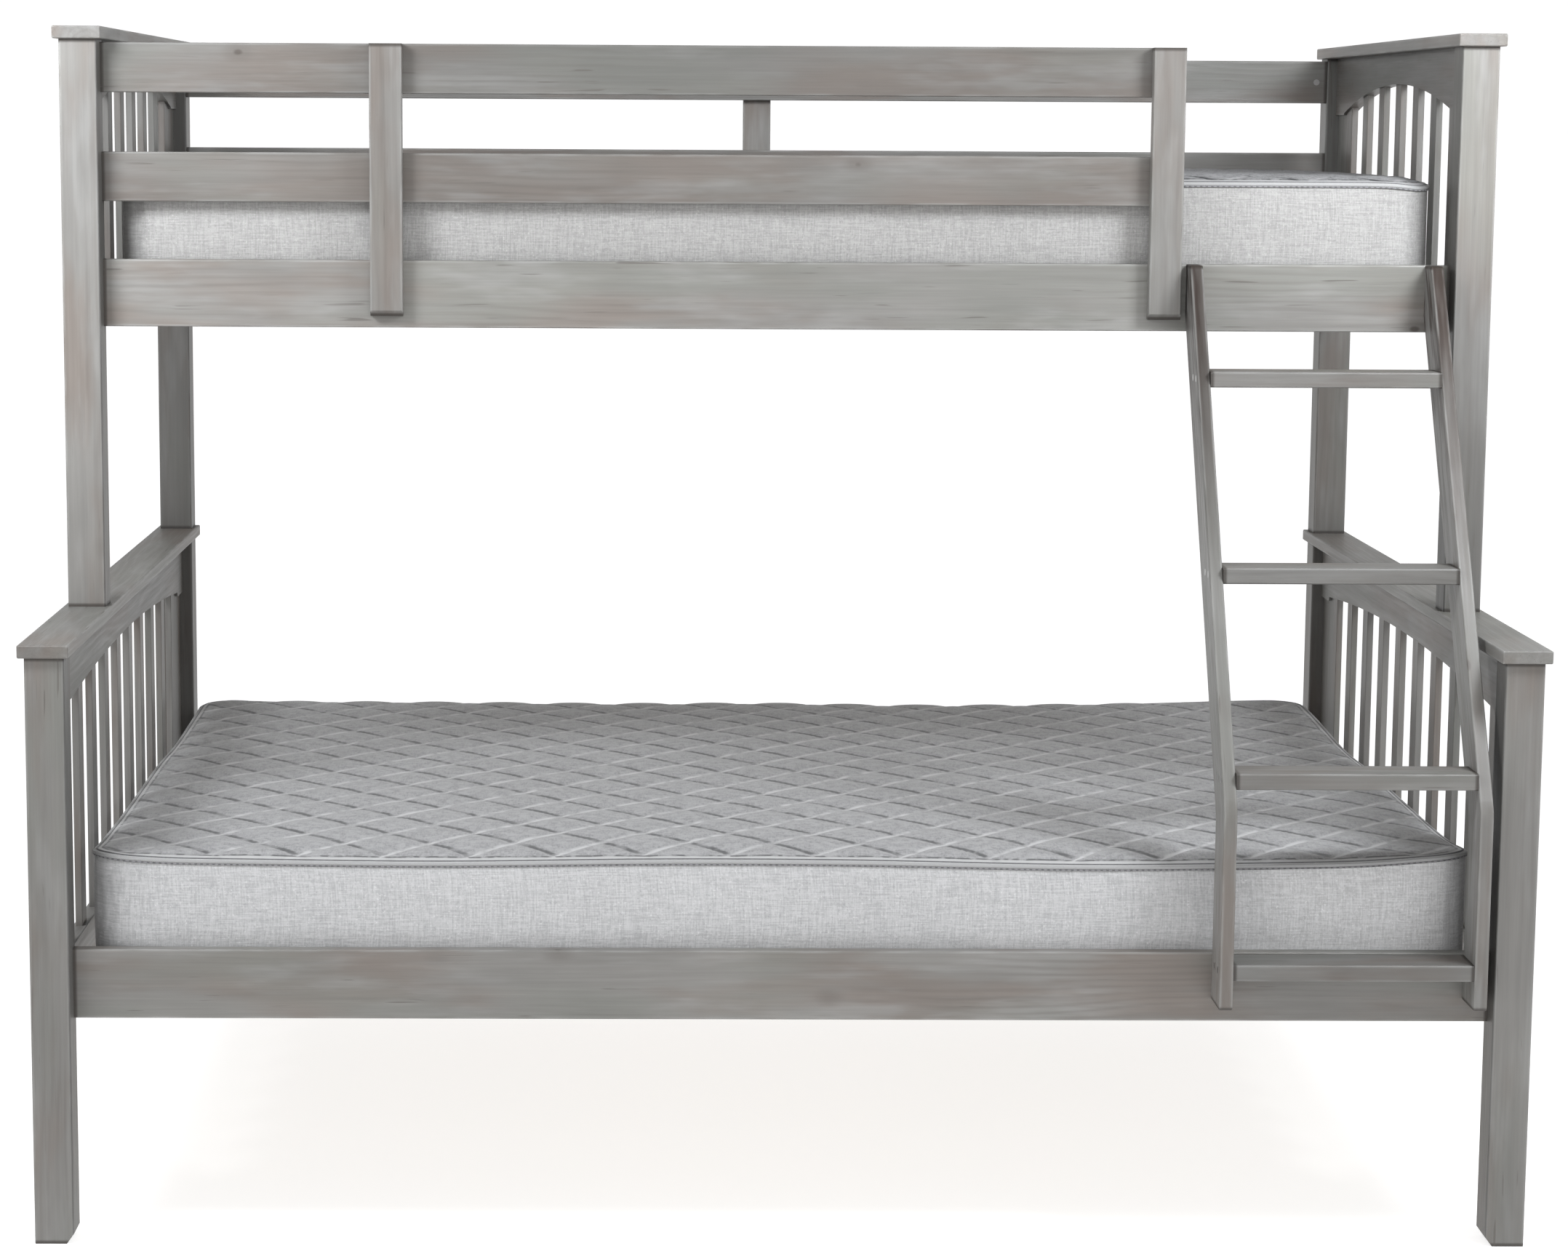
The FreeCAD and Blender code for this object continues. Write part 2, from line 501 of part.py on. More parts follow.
# ---------------------------------------------------------------- cut the fastener seats, then write
for name, tools in cuts.items():
    out = []
    for s in NODES[name]:
        bb = s.BoundBox
        near = [t for t in tools if bb.intersect(t.BoundBox)]
        if near:
            s = s.cut(Part.makeCompound(near)) if len(near) > 1 else s.cut(near[0])
        out.extend(s.Solids)
    NODES[name] = out

total = 0.0
for name, solids in NODES.items():
    flat = []
    for s in solids:
        flat.extend(s.Solids)
    shape = flat[0] if len(flat) == 1 else Part.makeCompound(flat)
    for s in flat:
        if not s.isValid() or s.Volume <= 0:
            print("BAD SOLID", name)
    shape.exportStep("parts/%s.step" % name)
    b = shape.BoundBox
    print("%-28s solids %3d  vol %10.1f cm3  x %.1f..%.1f y %.1f..%.1f z %.1f..%.1f"
          % (name, len(flat), shape.Volume / 1000.0, b.XMin, b.XMax, b.YMin, b.YMax, b.ZMin, b.ZMax))
print("nodes", len(NODES))
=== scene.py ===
import math

import bpy
import numpy as np
from mathutils import Matrix, Vector


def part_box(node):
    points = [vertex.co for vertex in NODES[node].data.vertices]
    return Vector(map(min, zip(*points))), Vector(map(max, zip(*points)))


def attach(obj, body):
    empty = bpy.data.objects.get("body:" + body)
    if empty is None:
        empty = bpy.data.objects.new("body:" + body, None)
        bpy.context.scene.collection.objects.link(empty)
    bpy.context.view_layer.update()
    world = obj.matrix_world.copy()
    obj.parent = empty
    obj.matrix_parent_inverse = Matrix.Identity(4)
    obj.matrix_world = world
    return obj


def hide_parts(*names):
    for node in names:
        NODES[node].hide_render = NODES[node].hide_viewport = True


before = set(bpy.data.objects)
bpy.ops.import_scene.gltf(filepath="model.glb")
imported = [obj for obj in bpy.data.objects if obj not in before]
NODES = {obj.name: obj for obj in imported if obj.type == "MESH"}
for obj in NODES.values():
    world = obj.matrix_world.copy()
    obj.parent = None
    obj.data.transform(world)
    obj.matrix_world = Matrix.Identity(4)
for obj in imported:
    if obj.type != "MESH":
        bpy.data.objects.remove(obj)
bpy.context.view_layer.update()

scene = bpy.context.scene


# ------------------------------------------------------------------ camera
F_PX, PX, PY = 5003.300509, 931.604949, 876.165454
CAM = Vector((-0.1996930, -5.4797520, 1.5037177))
YAW, PITCH, ROLL = -0.0115321936, 0.1399302879, 0.0053996445


def make_camera():
    fwd = Vector((-math.sin(YAW) * math.cos(PITCH), math.cos(YAW) * math.cos(PITCH), -math.sin(PITCH)))
    right = Vector((math.cos(YAW), math.sin(YAW), 0.0))
    up = right.cross(fwd)
    r2 = math.cos(ROLL) * right + math.sin(ROLL) * up
    u2 = -math.sin(ROLL) * right + math.cos(ROLL) * up
    data = bpy.data.cameras.new("camera")
    cam = bpy.data.objects.new("camera", data)
    scene.collection.objects.link(cam)
    cam.matrix_world = Matrix(((r2.x, u2.x, -fwd.x, CAM.x), (r2.y, u2.y, -fwd.y, CAM.y),
                               (r2.z, u2.z, -fwd.z, CAM.z), (0, 0, 0, 1)))
    data.sensor_fit = "HORIZONTAL"
    data.sensor_width = 36.0
    data.lens = F_PX * 36.0 / 2156.0
    data.shift_x = (1078.0 - PX) / 2156.0
    data.shift_y = (PY - 865.5) / 2156.0
    data.clip_start, data.clip_end = 0.05, 4000.0
    scene.camera = cam


make_camera()
scene.view_settings.view_transform = "Standard"
scene.view_settings.look = "None"
scene.view_settings.exposure = 0.0
scene.view_settings.gamma = 1.0


# ------------------------------------------------------------------ material building
class Mat:
    """A small helper that writes one node material."""

    def __init__(self, name):
        self.m = bpy.data.materials.new(name)
        self.m.use_nodes = True
        self.t = self.m.node_tree
        self.t.nodes.clear()
        self.out = self.n("ShaderNodeOutputMaterial")
        self.b = self.n("ShaderNodeBsdfPrincipled")
        self.l(self.b.outputs["BSDF"], self.out.inputs["Surface"])

    def n(self, kind, **kw):
        node = self.t.nodes.new(kind)
        for k, v in kw.items():
            setattr(node, k, v)
        return node

    def l(self, a, b):
        self.t.links.new(a, b)

    def put(self, socket, value):
        if hasattr(value, "is_output"):
            self.l(value, socket)
        else:
            socket.default_value = value

    def math(self, op, a, b=None, c=None, clamp=False):
        node = self.n("ShaderNodeMath", operation=op)
        node.use_clamp = clamp
        for i, v in enumerate((a, b, c)):
            if v is not None:
                self.put(node.inputs[i], v)
        return node.outputs[0]

    def vec(self, x, y, z):
        node = self.n("ShaderNodeCombineXYZ")
        for i, v in enumerate((x, y, z)):
            self.put(node.inputs[i], v)
        return node.outputs[0]

    def sep(self, v):
        node = self.n("ShaderNodeSeparateXYZ")
        self.l(v, node.inputs[0])
        return node.outputs[0], node.outputs[1], node.outputs[2]

    def scaled(self, v, s, add=(0, 0, 0)):
        node = self.n("ShaderNodeVectorMath", operation="MULTIPLY_ADD")
        self.l(v, node.inputs[0])
        node.inputs[1].default_value = s
        self.put(node.inputs[2], add)
        return node.outputs[0]

    def vadd(self, a, b):
        node = self.n("ShaderNodeVectorMath", operation="ADD")
        self.put(node.inputs[0], a)
        self.put(node.inputs[1], b)
        return node.outputs[0]

    def noise(self, v, scale=1.0, detail=2.0, rough=0.5, dist=0.0):
        node = self.n("ShaderNodeTexNoise")
        node.noise_dimensions = "3D"
        self.l(v, node.inputs["Vector"])
        node.inputs["Scale"].default_value = scale
        node.inputs["Detail"].default_value = detail
        node.inputs["Roughness"].default_value = rough
        node.inputs["Distortion"].default_value = dist
        return node

    def range(self, v, a, b, c=0.0, d=1.0, smooth=True):
        node = self.n("ShaderNodeMapRange")
        node.interpolation_type = "SMOOTHSTEP" if smooth else "LINEAR"
        self.l(v, node.inputs["Value"])
        for i, x in zip(("From Min", "From Max", "To Min", "To Max"), (a, b, c, d)):
            node.inputs[i].default_value = x
        return node.outputs[0]

    def mix(self, fac, a, b, blend="MIX"):
        node = self.n("ShaderNodeMix")
        node.data_type = "RGBA"
        node.blend_type = blend
        self.put(node.inputs[0], fac)
        self.put(node.inputs[6], a if hasattr(a, "is_output") else (*a, 1.0))
        self.put(node.inputs[7], b if hasattr(b, "is_output") else (*b, 1.0))
        return node.outputs[2]

    def bump(self, height, strength, distance):
        node = self.n("ShaderNodeBump")
        node.inputs["Strength"].default_value = strength
        node.inputs["Distance"].default_value = distance
        self.l(height, node.inputs["Height"])
        self.l(node.outputs[0], self.b.inputs["Normal"])


PINE = {"mid": (0.188, 0.182, 0.172), "brown": (0.168, 0.146, 0.130), "green": (0.174, 0.175, 0.160),
        "pale": (0.240, 0.237, 0.229), "knot": (0.060, 0.049, 0.041)}
RAW = {"mid": (0.50, 0.40, 0.285), "brown": (0.47, 0.345, 0.225), "green": (0.50, 0.42, 0.31),
       "pale": (0.57, 0.47, 0.35), "knot": (0.20, 0.12, 0.07)}


def wood(name, axis, seed, cols=PINE, boards=None, lean=None, knots=1.0, tone=1.0, warm=0.0, box=None, top_stain=None, low_stain=None, inner=0):
    """Brushed and washed pine. axis is the grain; boards = (axis, start, pitch) splits a node into its own boards;
    lean = (z, slope) lets the grain follow a stile that leans back above z; box = (low, high) corners of a plain board,
    whose arrises are rubbed paler; top_stain = (z0, z1) is where a browner stain fades in towards the cut top;
    low_stain = (z0, z1, k) is painted shade, darkening the wood to k below z0; inner = +1 or -1 is the side of a post
    whose face towards the beds is darkened as painted shade."""
    m = Mat(name)
    rnd = np.random.default_rng(seed)
    tc = m.n("ShaderNodeTexCoord")
    x0, y0, z0 = m.sep(tc.outputs["Object"])
    x, y, z = x0, y0, z0
    if lean:
        over = m.math("MAXIMUM", m.math("SUBTRACT", z, lean[0]), 0.0)
        y = m.math("SUBTRACT", y, m.math("MULTIPLY", over, lean[1]))
    g, a, b = {"x": (x, y, z), "y": (y, z, x), "z": (z, x, y)}[axis]
    off = [float(v) for v in rnd.uniform(2.0, 40.0, 3)]
    ring = [float(v) for v in rnd.uniform(-0.05, 0.05, 2)]
    side = 1.0 if rnd.random() > 0.5 else -1.0
    co = m.vec(g, a, b)
    # the pith of the tree lies beside the board's own middle
    if box:
        c = [(box[0][i] + box[1][i]) / 2 for i in range(3)]
        if lean:
            c[1] -= max(c[2] - lean[0], 0) * lean[1]
        mid = {"x": (c[1], c[2]), "y": (c[2], c[0]), "z": (c[0], c[1])}[axis]
    else:
        mid = (0.0, 0.0)
    # each board's random tone is multiplied by tone, which paints light and shade onto the whole part
    if boards:
        src = {"x": x, "y": y, "z": z}[boards[0]]
        idx = m.math("FLOOR", m.math("DIVIDE", m.math("SUBTRACT", src, boards[1]), boards[2]))
        wn = m.n("ShaderNodeTexWhiteNoise")
        wn.noise_dimensions = "1D"
        m.l(m.math("ADD", idx, 0.5), wn.inputs["W"])
        jitter = m.scaled(wn.outputs["Color"], (17.0, 9.0, 13.0), tuple(off))
        ringj = m.scaled(wn.outputs["Color"], (0.0, 0.13, 0.13), (0.0, -0.065 - mid[0], -0.065 - mid[1]))
        board_tone_with_painted_light = m.math("MULTIPLY_ADD", wn.outputs["Value"], 0.20 * tone, 0.90 * tone)
    else:
        jitter = tuple(off)
        ringj = (0.0, ring[0] - mid[0], 0.055 * side + ring[1] - mid[1])
        board_tone_with_painted_light = float(rnd.uniform(0.97, 1.03)) * tone
    cn = m.vadd(co, jitter)
    # slow wander of the grain, then growth rings about the pith
    warp = m.noise(m.scaled(cn, (1.6, 7.0, 7.0)), 1.0, 2.0, 0.5)
    wv = m.n("ShaderNodeVectorMath", operation="MULTIPLY_ADD")
    m.l(warp.outputs["Color"], wv.inputs[0])
    wv.inputs[1].default_value = (0.0, 0.060, 0.060)
    m.l(m.vadd(co, ringj), wv.inputs[2])
    rg, ra, rb = m.sep(wv.outputs[0])
    dist = m.math("SQRT", m.math("ADD", m.math("MULTIPLY", ra, ra), m.math("MULTIPLY", rb, rb)))
    fine = m.noise(m.scaled(cn, (4.0, 40.0, 40.0)), 1.0, 2.0, 0.6)
    phase = m.math("MULTIPLY_ADD", fine.outputs["Fac"], 5.0, m.math("MULTIPLY", dist, 2 * math.pi / 0.0095))
    late = m.math("POWER", m.math("MULTIPLY_ADD", m.math("SINE", phase), 0.5, 0.5), 2.0)
    patch = m.noise(m.scaled(cn, (1.7, 9.0, 9.0), (3.1, 7.7, 1.9)), 1.0, 2.0, 0.5)
    late_f = m.math("MULTIPLY", late, m.range(patch.outputs["Fac"], 0.42, 0.68, 0.03, 0.26))
    # broad colour: brownish and greenish patches, paler washed patches
    p1 = m.noise(m.scaled(cn, (2.8, 11.0, 11.0), (9.0, 2.0, 5.0)), 1.0, 3.0, 0.55)
    p2 = m.noise(m.scaled(cn, (2.1, 8.0, 8.0), (21.0, 4.0, 8.0)), 1.0, 2.0, 0.5)
    p3 = m.noise(m.scaled(cn, (5.0, 26.0, 26.0), (2.0, 31.0, 6.0)), 1.0, 3.0, 0.6)
    col = m.mix(m.range(p1.outputs["Fac"], 0.44 - 0.10 * warm, 0.62, 0.0, 0.95), cols["mid"], cols["brown"])
    col = m.mix(m.range(p2.outputs["Fac"], 0.48, 0.66, 0.0, 0.80), col, cols["green"])
    col = m.mix(m.range(p3.outputs["Fac"], 0.48, 0.72, 0.0, 0.60), col, cols["pale"])
    dark = tuple(v * 0.60 for v in cols["brown"])
    if top_stain:
        st = m.noise(m.scaled(cn, (9.0, 60.0, 60.0), (4.0, 4.0, 1.0)), 1.0, 2.0, 0.5)
        up = m.range(z0, top_stain[0], top_stain[1], 0.0, 0.95)
        up = m.math("MULTIPLY", up, m.range(st.outputs["Fac"], 0.30, 0.55, 0.80, 1.0))
        col = m.mix(up, col, (0.036, 0.025, 0.021))
        m.l(m.math("MULTIPLY_ADD", up, -0.46, 0.50), m.b.inputs["Specular IOR Level"])
    col = m.mix(late_f, col, dark)
    # fibres, pores left open by the brush and short dark streaks
    fib = m.noise(m.scaled(cn, (7.0, 330.0, 330.0)), 1.0, 3.0, 0.6)
    fib2 = m.noise(m.scaled(cn, (2.6, 110.0, 110.0), (5.0, 5.0, 5.0)), 1.0, 2.0, 0.5)
    shade = m.math("MULTIPLY_ADD", fib.outputs["Fac"], 0.30, 0.85)
    shade = m.math("MULTIPLY", shade, m.math("MULTIPLY_ADD", fib2.outputs["Fac"], 0.24, 0.88))
    shade = m.math("MULTIPLY", shade, board_tone_with_painted_light)
    # painted shade on the post's face towards the beds and a thin strip beside it
    if inner:
        di = m.math("SUBTRACT", float(box[1][0]), x0) if inner > 0 else m.math("SUBTRACT", x0, float(box[0][0]))
        shade = m.math("MULTIPLY", shade, m.range(di, 0.0006, 0.0030, 0.50, 1.0))
    # painted shade: the wood darkens towards the bottom of the part
    if low_stain:
        shade = m.math("MULTIPLY", shade, m.range(z0, low_stain[0], low_stain[1], low_stain[2], 1.0))
    pores = m.range(fib.outputs["Fac"], 0.66, 0.76)
    shade = m.math("MULTIPLY", shade, m.math("MULTIPLY_ADD", pores, -0.22, 1.0))
    blot = m.noise(m.scaled(cn, (3.0, 7.0, 7.0), (1.0, 12.0, 3.0)), 1.0, 3.0, 0.55)
    shade = m.math("MULTIPLY", shade, m.math("MULTIPLY_ADD", blot.outputs["Fac"], 0.62, 0.69))
    streak = m.noise(m.scaled(cn, (11.0, 210.0, 210.0), (6.0, 1.0, 14.0)), 1.0, 1.0, 0.5)
    smask = m.math("MULTIPLY", m.range(streak.outputs["Fac"], 0.70, 0.76), m.range(p2.outputs["Fac"], 0.46, 0.56))
    if box:
        # rubbed arrises
        ds = []
        for i, v in enumerate((x0, y0, z0)):
            ds.append(m.math("MINIMUM", m.math("SUBTRACT", v, float(box[0][i])), m.math("SUBTRACT", float(box[1][i]), v)))
        pick = {"x": (1, 2), "y": (2, 0), "z": (0, 1)}[axis]
        if not lean:
            e = m.math("MAXIMUM", ds[pick[0]], ds[pick[1]])
        else:
            e = ds[0]
        rub = m.noise(m.scaled(cn, (16.0, 120.0, 120.0), (8.0, 1.0, 2.0)), 1.0, 2.0, 0.5)
        wear = m.math("MULTIPLY", m.range(e, 0.0012, 0.0042, 1.0, 0.0), m.range(rub.outputs["Fac"], 0.35, 0.62, 0.10, 0.60))
        col = m.mix(wear, col, tuple(v * 1.16 for v in cols["pale"]))
        if axis != "y" and cols is PINE:
            # painted contact shade: a dark line at each end of the board, where it meets the next part
            painted_joint_shade = m.range(ds["xyz".index(axis)], 0.0022, 0.0066, 0.88, 0.0)
            col = m.mix(painted_joint_shade, col, tuple(v * 0.7 for v in cols["knot"]))
    grey = m.vec(shade, shade, shade)
    col = m.mix(1.0, col, grey, "MULTIPLY")
    col = m.mix(m.math("MULTIPLY", smask, 0.60), col, tuple(v * 0.8 for v in dark))
    # knots
    vor = m.n("ShaderNodeTexVoronoi")
    vor.feature = "F1"
    kn = m.noise(m.scaled(cn, (60.0, 60.0, 60.0)), 1.0, 2.0, 0.5)
    m.l(m.vadd(m.scaled(cn, (5.2, 8.5, 8.5)), m.scaled(kn.outputs["Color"], (0.02, 0.02, 0.02))), vor.inputs["Vector"])
    vor.inputs["Scale"].default_value = 1.0
    kmask = m.range(vor.outputs["Distance"], 0.022, 0.050, 0.80 * knots, 0.0)
    halo = m.range(vor.outputs["Distance"], 0.04, 0.16, 0.40 * knots, 0.0)
    col = m.mix(halo, col, dark)
    col = m.mix(kmask, col, cols["knot"])
    m.l(col, m.b.inputs["Base Color"])
    rough = m.math("MULTIPLY_ADD", fib.outputs["Fac"], 0.26, 0.36)
    m.l(m.math("MULTIPLY_ADD", late, -0.05, rough), m.b.inputs["Roughness"])
    h = m.math("MULTIPLY_ADD", fib.outputs["Fac"], 0.75, m.math("MULTIPLY", late, 0.30))
    h = m.math("SUBTRACT", h, m.math("MULTIPLY", pores, 0.6))
    m.bump(h, 0.30, 0.0006)
    return m.m


def steel(name, seed):
    m = Mat(name)
    tc = m.n("ShaderNodeTexCoord")
    n1 = m.noise(m.scaled(tc.outputs["Object"], (900.0, 900.0, 900.0), (seed, seed, seed)), 1.0, 2.0, 0.6)
    n2 = m.noise(m.scaled(tc.outputs["Object"], (70.0, 70.0, 70.0)), 1.0, 3.0, 0.6)
    col = m.mix(n2.outputs["Fac"], (0.27, 0.27, 0.28), (0.42, 0.41, 0.40))
    m.l(col, m.b.inputs["Base Color"])
    m.b.inputs["Metallic"].default_value = 1.0
    m.l(m.math("MULTIPLY_ADD", n1.outputs["Fac"], 0.22, 0.24), m.b.inputs["Roughness"])
    m.bump(n1.outputs["Fac"], 0.15, 0.0003)
    return m.m


def give(node, material):
    o = NODES[node]
    if not o.data.materials:
        o.data.materials.append(material)
    for i in range(len(o.material_slots)):
        o.material_slots[i].material = material


def board(node, axis, seed, **kw):
    lo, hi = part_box(node)
    give(node, wood("wood_" + node, axis, seed, box=(tuple(lo), tuple(hi)), **kw))


# painted light and shade per part: each factor darkens or lightens a whole part's wood, darkest for parts that sit in
# shade such as the back posts, end and arched rails and ladder rungs
PAINTED_LIGHT_TONE = {"upper_post_front_left": 1.00, "upper_post_front_right": 1.07, "lower_post_front_left": 0.86,
        "lower_post_front_right": 0.86, "lower_post_back_left": 0.53, "lower_post_back_right": 0.67,
        "upper_post_back_left": 0.54, "upper_post_back_right": 0.66, "upper_arched_rail_right": 0.58,
        "upper_arched_rail_left": 0.68, "lower_arched_rail_left": 0.64, "lower_arched_rail_right": 0.76,
        "upper_end_rail_left": 0.75, "upper_end_rail_right": 0.72,
        "lower_end_rail_left": 0.72, "lower_end_rail_right": 0.74,
        "lower_cap_left": 0.80, "lower_cap_right": 0.86, "upper_cap_left": 0.93, "upper_cap_right": 0.93,
        "guard_board_front_high": 0.74, "guard_board_front_low": 0.82, "upper_side_rail_front": 1.03,
        "lower_side_rail_front": 0.98, "guard_board_back_high": 0.84, "guard_board_back_low": 0.84,
        "ladder_rung_4": 0.78, "ladder_rung_3": 0.71, "ladder_rung_2": 0.75, "ladder_rung_1": 0.72}
# painted shade: (z0, z1, k) darkens these posts towards their foot, to k below z0
PAINTED_LOW_SHADE = {"upper_post_front_right": (0.98, 1.58, 0.62), "upper_post_back_left": (1.0, 1.5, 0.88)}
seed = 100
for side in ("left", "right"):
    for fb in ("front", "back"):
        for lv in ("lower", "upper"):
            seed += 1
            n = "%s_post_%s_%s" % (lv, fb, side)
            board(n, "z", seed, tone=PAINTED_LIGHT_TONE.get(n, 1.0), low_stain=PAINTED_LOW_SHADE.get(n),
                  inner=(1 if side == "left" else -1) if fb == "front" else 0)
    for lv in ("lower", "upper"):
        for part in ("cap", "arched_rail", "end_rail"):
            seed += 1
            n = "%s_%s_%s" % (lv, part, side)
            board(n, "y", seed, tone=PAINTED_LIGHT_TONE.get(n, 1.0))
        seed += 1
        lo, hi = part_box("%s_panel_slats_%s" % (lv, side))
        mid = (lo.y + hi.y) / 2
        # the panel slats are darkened as painted shade, the upper ones more
        give("%s_panel_slats_%s" % (lv, side),
             wood("wood_%s_panel_slats_%s" % (lv, side), "z", seed, tone=0.72 if lv == "upper" else 0.78,
                  boards=("y", mid - 0.127 * 6 + (0.0635 if lv == "upper" else 0.0), 0.127)))
for n in ("lower_side_rail_front", "lower_side_rail_back", "upper_side_rail_front", "upper_side_rail_back",
          "guard_board_front_low", "guard_board_front_high", "guard_board_back_low", "guard_board_back_high",
          "ladder_rung_1", "ladder_rung_2", "ladder_rung_3", "ladder_rung_4"):
    seed += 1
    board(n, "x", seed, tone=PAINTED_LIGHT_TONE.get(n, 1.0), warm=1.0 if n.startswith("guard_board_front") else 0.0)
# the guard uprights are darkened a little as painted shade
for n in ("guard_upright_front_left", "guard_upright_front_right", "guard_upright_back"):
    seed += 1
    board(n, "z", seed, knots=0.5, tone=0.93)
# the ladder stiles are darkened a little as painted shade
for n in ("ladder_stile_left", "ladder_stile_right"):
    seed += 1
    board(n, "z", seed, lean=(0.6075, 0.593), knots=0.6, tone=0.87, top_stain=(0.72, 1.30))
for lv in ("lower", "upper"):
    for fb in ("front", "back"):
        seed += 1
        board("%s_ledger_%s" % (lv, fb), "x", seed, cols=RAW)
    seed += 1
    pitch = 1.78 / 12
    give(lv + "_deck_slats", wood("wood_%s_deck_slats" % lv, "y", seed, cols=RAW, boards=("x", -pitch * 6.5, pitch)))
give("wood_dowels", wood("wood_dowel_stock", "z", 901, cols=RAW, knots=0.0))
for i, n in enumerate(("side_rail_bolts", "barrel_nuts", "stacking_pins", "ledger_screws", "deck_slat_screws",
                       "guard_screws", "ladder_rung_screws", "ladder_bolts")):
    give(n, steel("steel_" + n, 3.0 + i))


# ------------------------------------------------------------------ fabrics
PX_Q, PY_Q, A0, B0 = 0.1172, 0.1230, 0.217, 0.583   # diamond diagonals and the phases of the two line families


def ticking_border(name, shade=1.0, painted_light_from_x=None, tint=(1.0, 1.0, 1.0)):
    """Heathered linen-look border: horizontal and vertical slubs."""
    m = Mat(name)
    tc = m.n("ShaderNodeTexCoord")
    x, y, z = m.sep(tc.outputs["Object"])
    s = m.math("ADD", x, y)
    v = m.vec(s, z, m.math("SUBTRACT", x, y))
    hor = m.noise(m.scaled(v, (32.0, 520.0, 12.0)), 1.0, 2.0, 0.6)
    ver = m.noise(m.scaled(v, (520.0, 32.0, 12.0), (7.0, 3.0, 1.0)), 1.0, 2.0, 0.6)
    spk = m.noise(m.scaled(v, (300.0, 300.0, 40.0), (2.0, 5.0, 9.0)), 1.0, 2.0, 0.7)
    big = m.noise(m.scaled(v, (4.0, 9.0, 2.0)), 1.0, 2.0, 0.5)
    w = m.math("ADD", m.math("MULTIPLY", hor.outputs["Fac"], 0.5), m.math("MULTIPLY", ver.outputs["Fac"], 0.5))
    w = m.math("MULTIPLY_ADD", spk.outputs["Fac"], 0.25, m.math("MULTIPLY", w, 0.75))
    f = m.range(w, 0.36, 0.62)
    col = m.mix(f, tuple(v * shade for v in (0.358, 0.358, 0.363)), tuple(v * shade for v in (0.497, 0.497, 0.502)))
    dark = m.range(spk.outputs["Fac"], 0.31, 0.38, 0.42, 0.0)
    col = m.mix(dark, col, tuple(v * shade for v in (0.28, 0.28, 0.285)))
    lite = m.range(spk.outputs["Fac"], 0.64, 0.70, 0.0, 0.5)
    col = m.mix(lite, col, tuple(v * shade for v in (0.66, 0.66, 0.66)))
    k = m.math("MULTIPLY_ADD", big.outputs["Fac"], 0.12, 0.94)
    if painted_light_from_x:
        # painted light: the front of the border is made paler from this x towards its end, lifting the shade that falls
        # there
        p = m.math("MULTIPLY", m.range(x, painted_light_from_x - 0.04, painted_light_from_x + 0.10), m.range(y, -0.60, -0.72))
        k = m.math("MULTIPLY", k, m.math("MULTIPLY_ADD", p, 0.60, 1.0))
    col = m.mix(1.0, col, m.vec(k, k, k), "MULTIPLY")
    col = m.mix(1.0, col, tint, "MULTIPLY")
    m.l(col, m.b.inputs["Base Color"])
    m.l(m.math("MULTIPLY_ADD", w, 0.25, 0.74), m.b.inputs["Roughness"])
    m.b.inputs["Sheen Weight"].default_value = 0.25
    m.b.inputs["Sheen Roughness"].default_value = 0.5
    m.b.inputs["Specular IOR Level"].default_value = 0.25
    m.bump(w, 0.6, 0.0012)
    return m.m


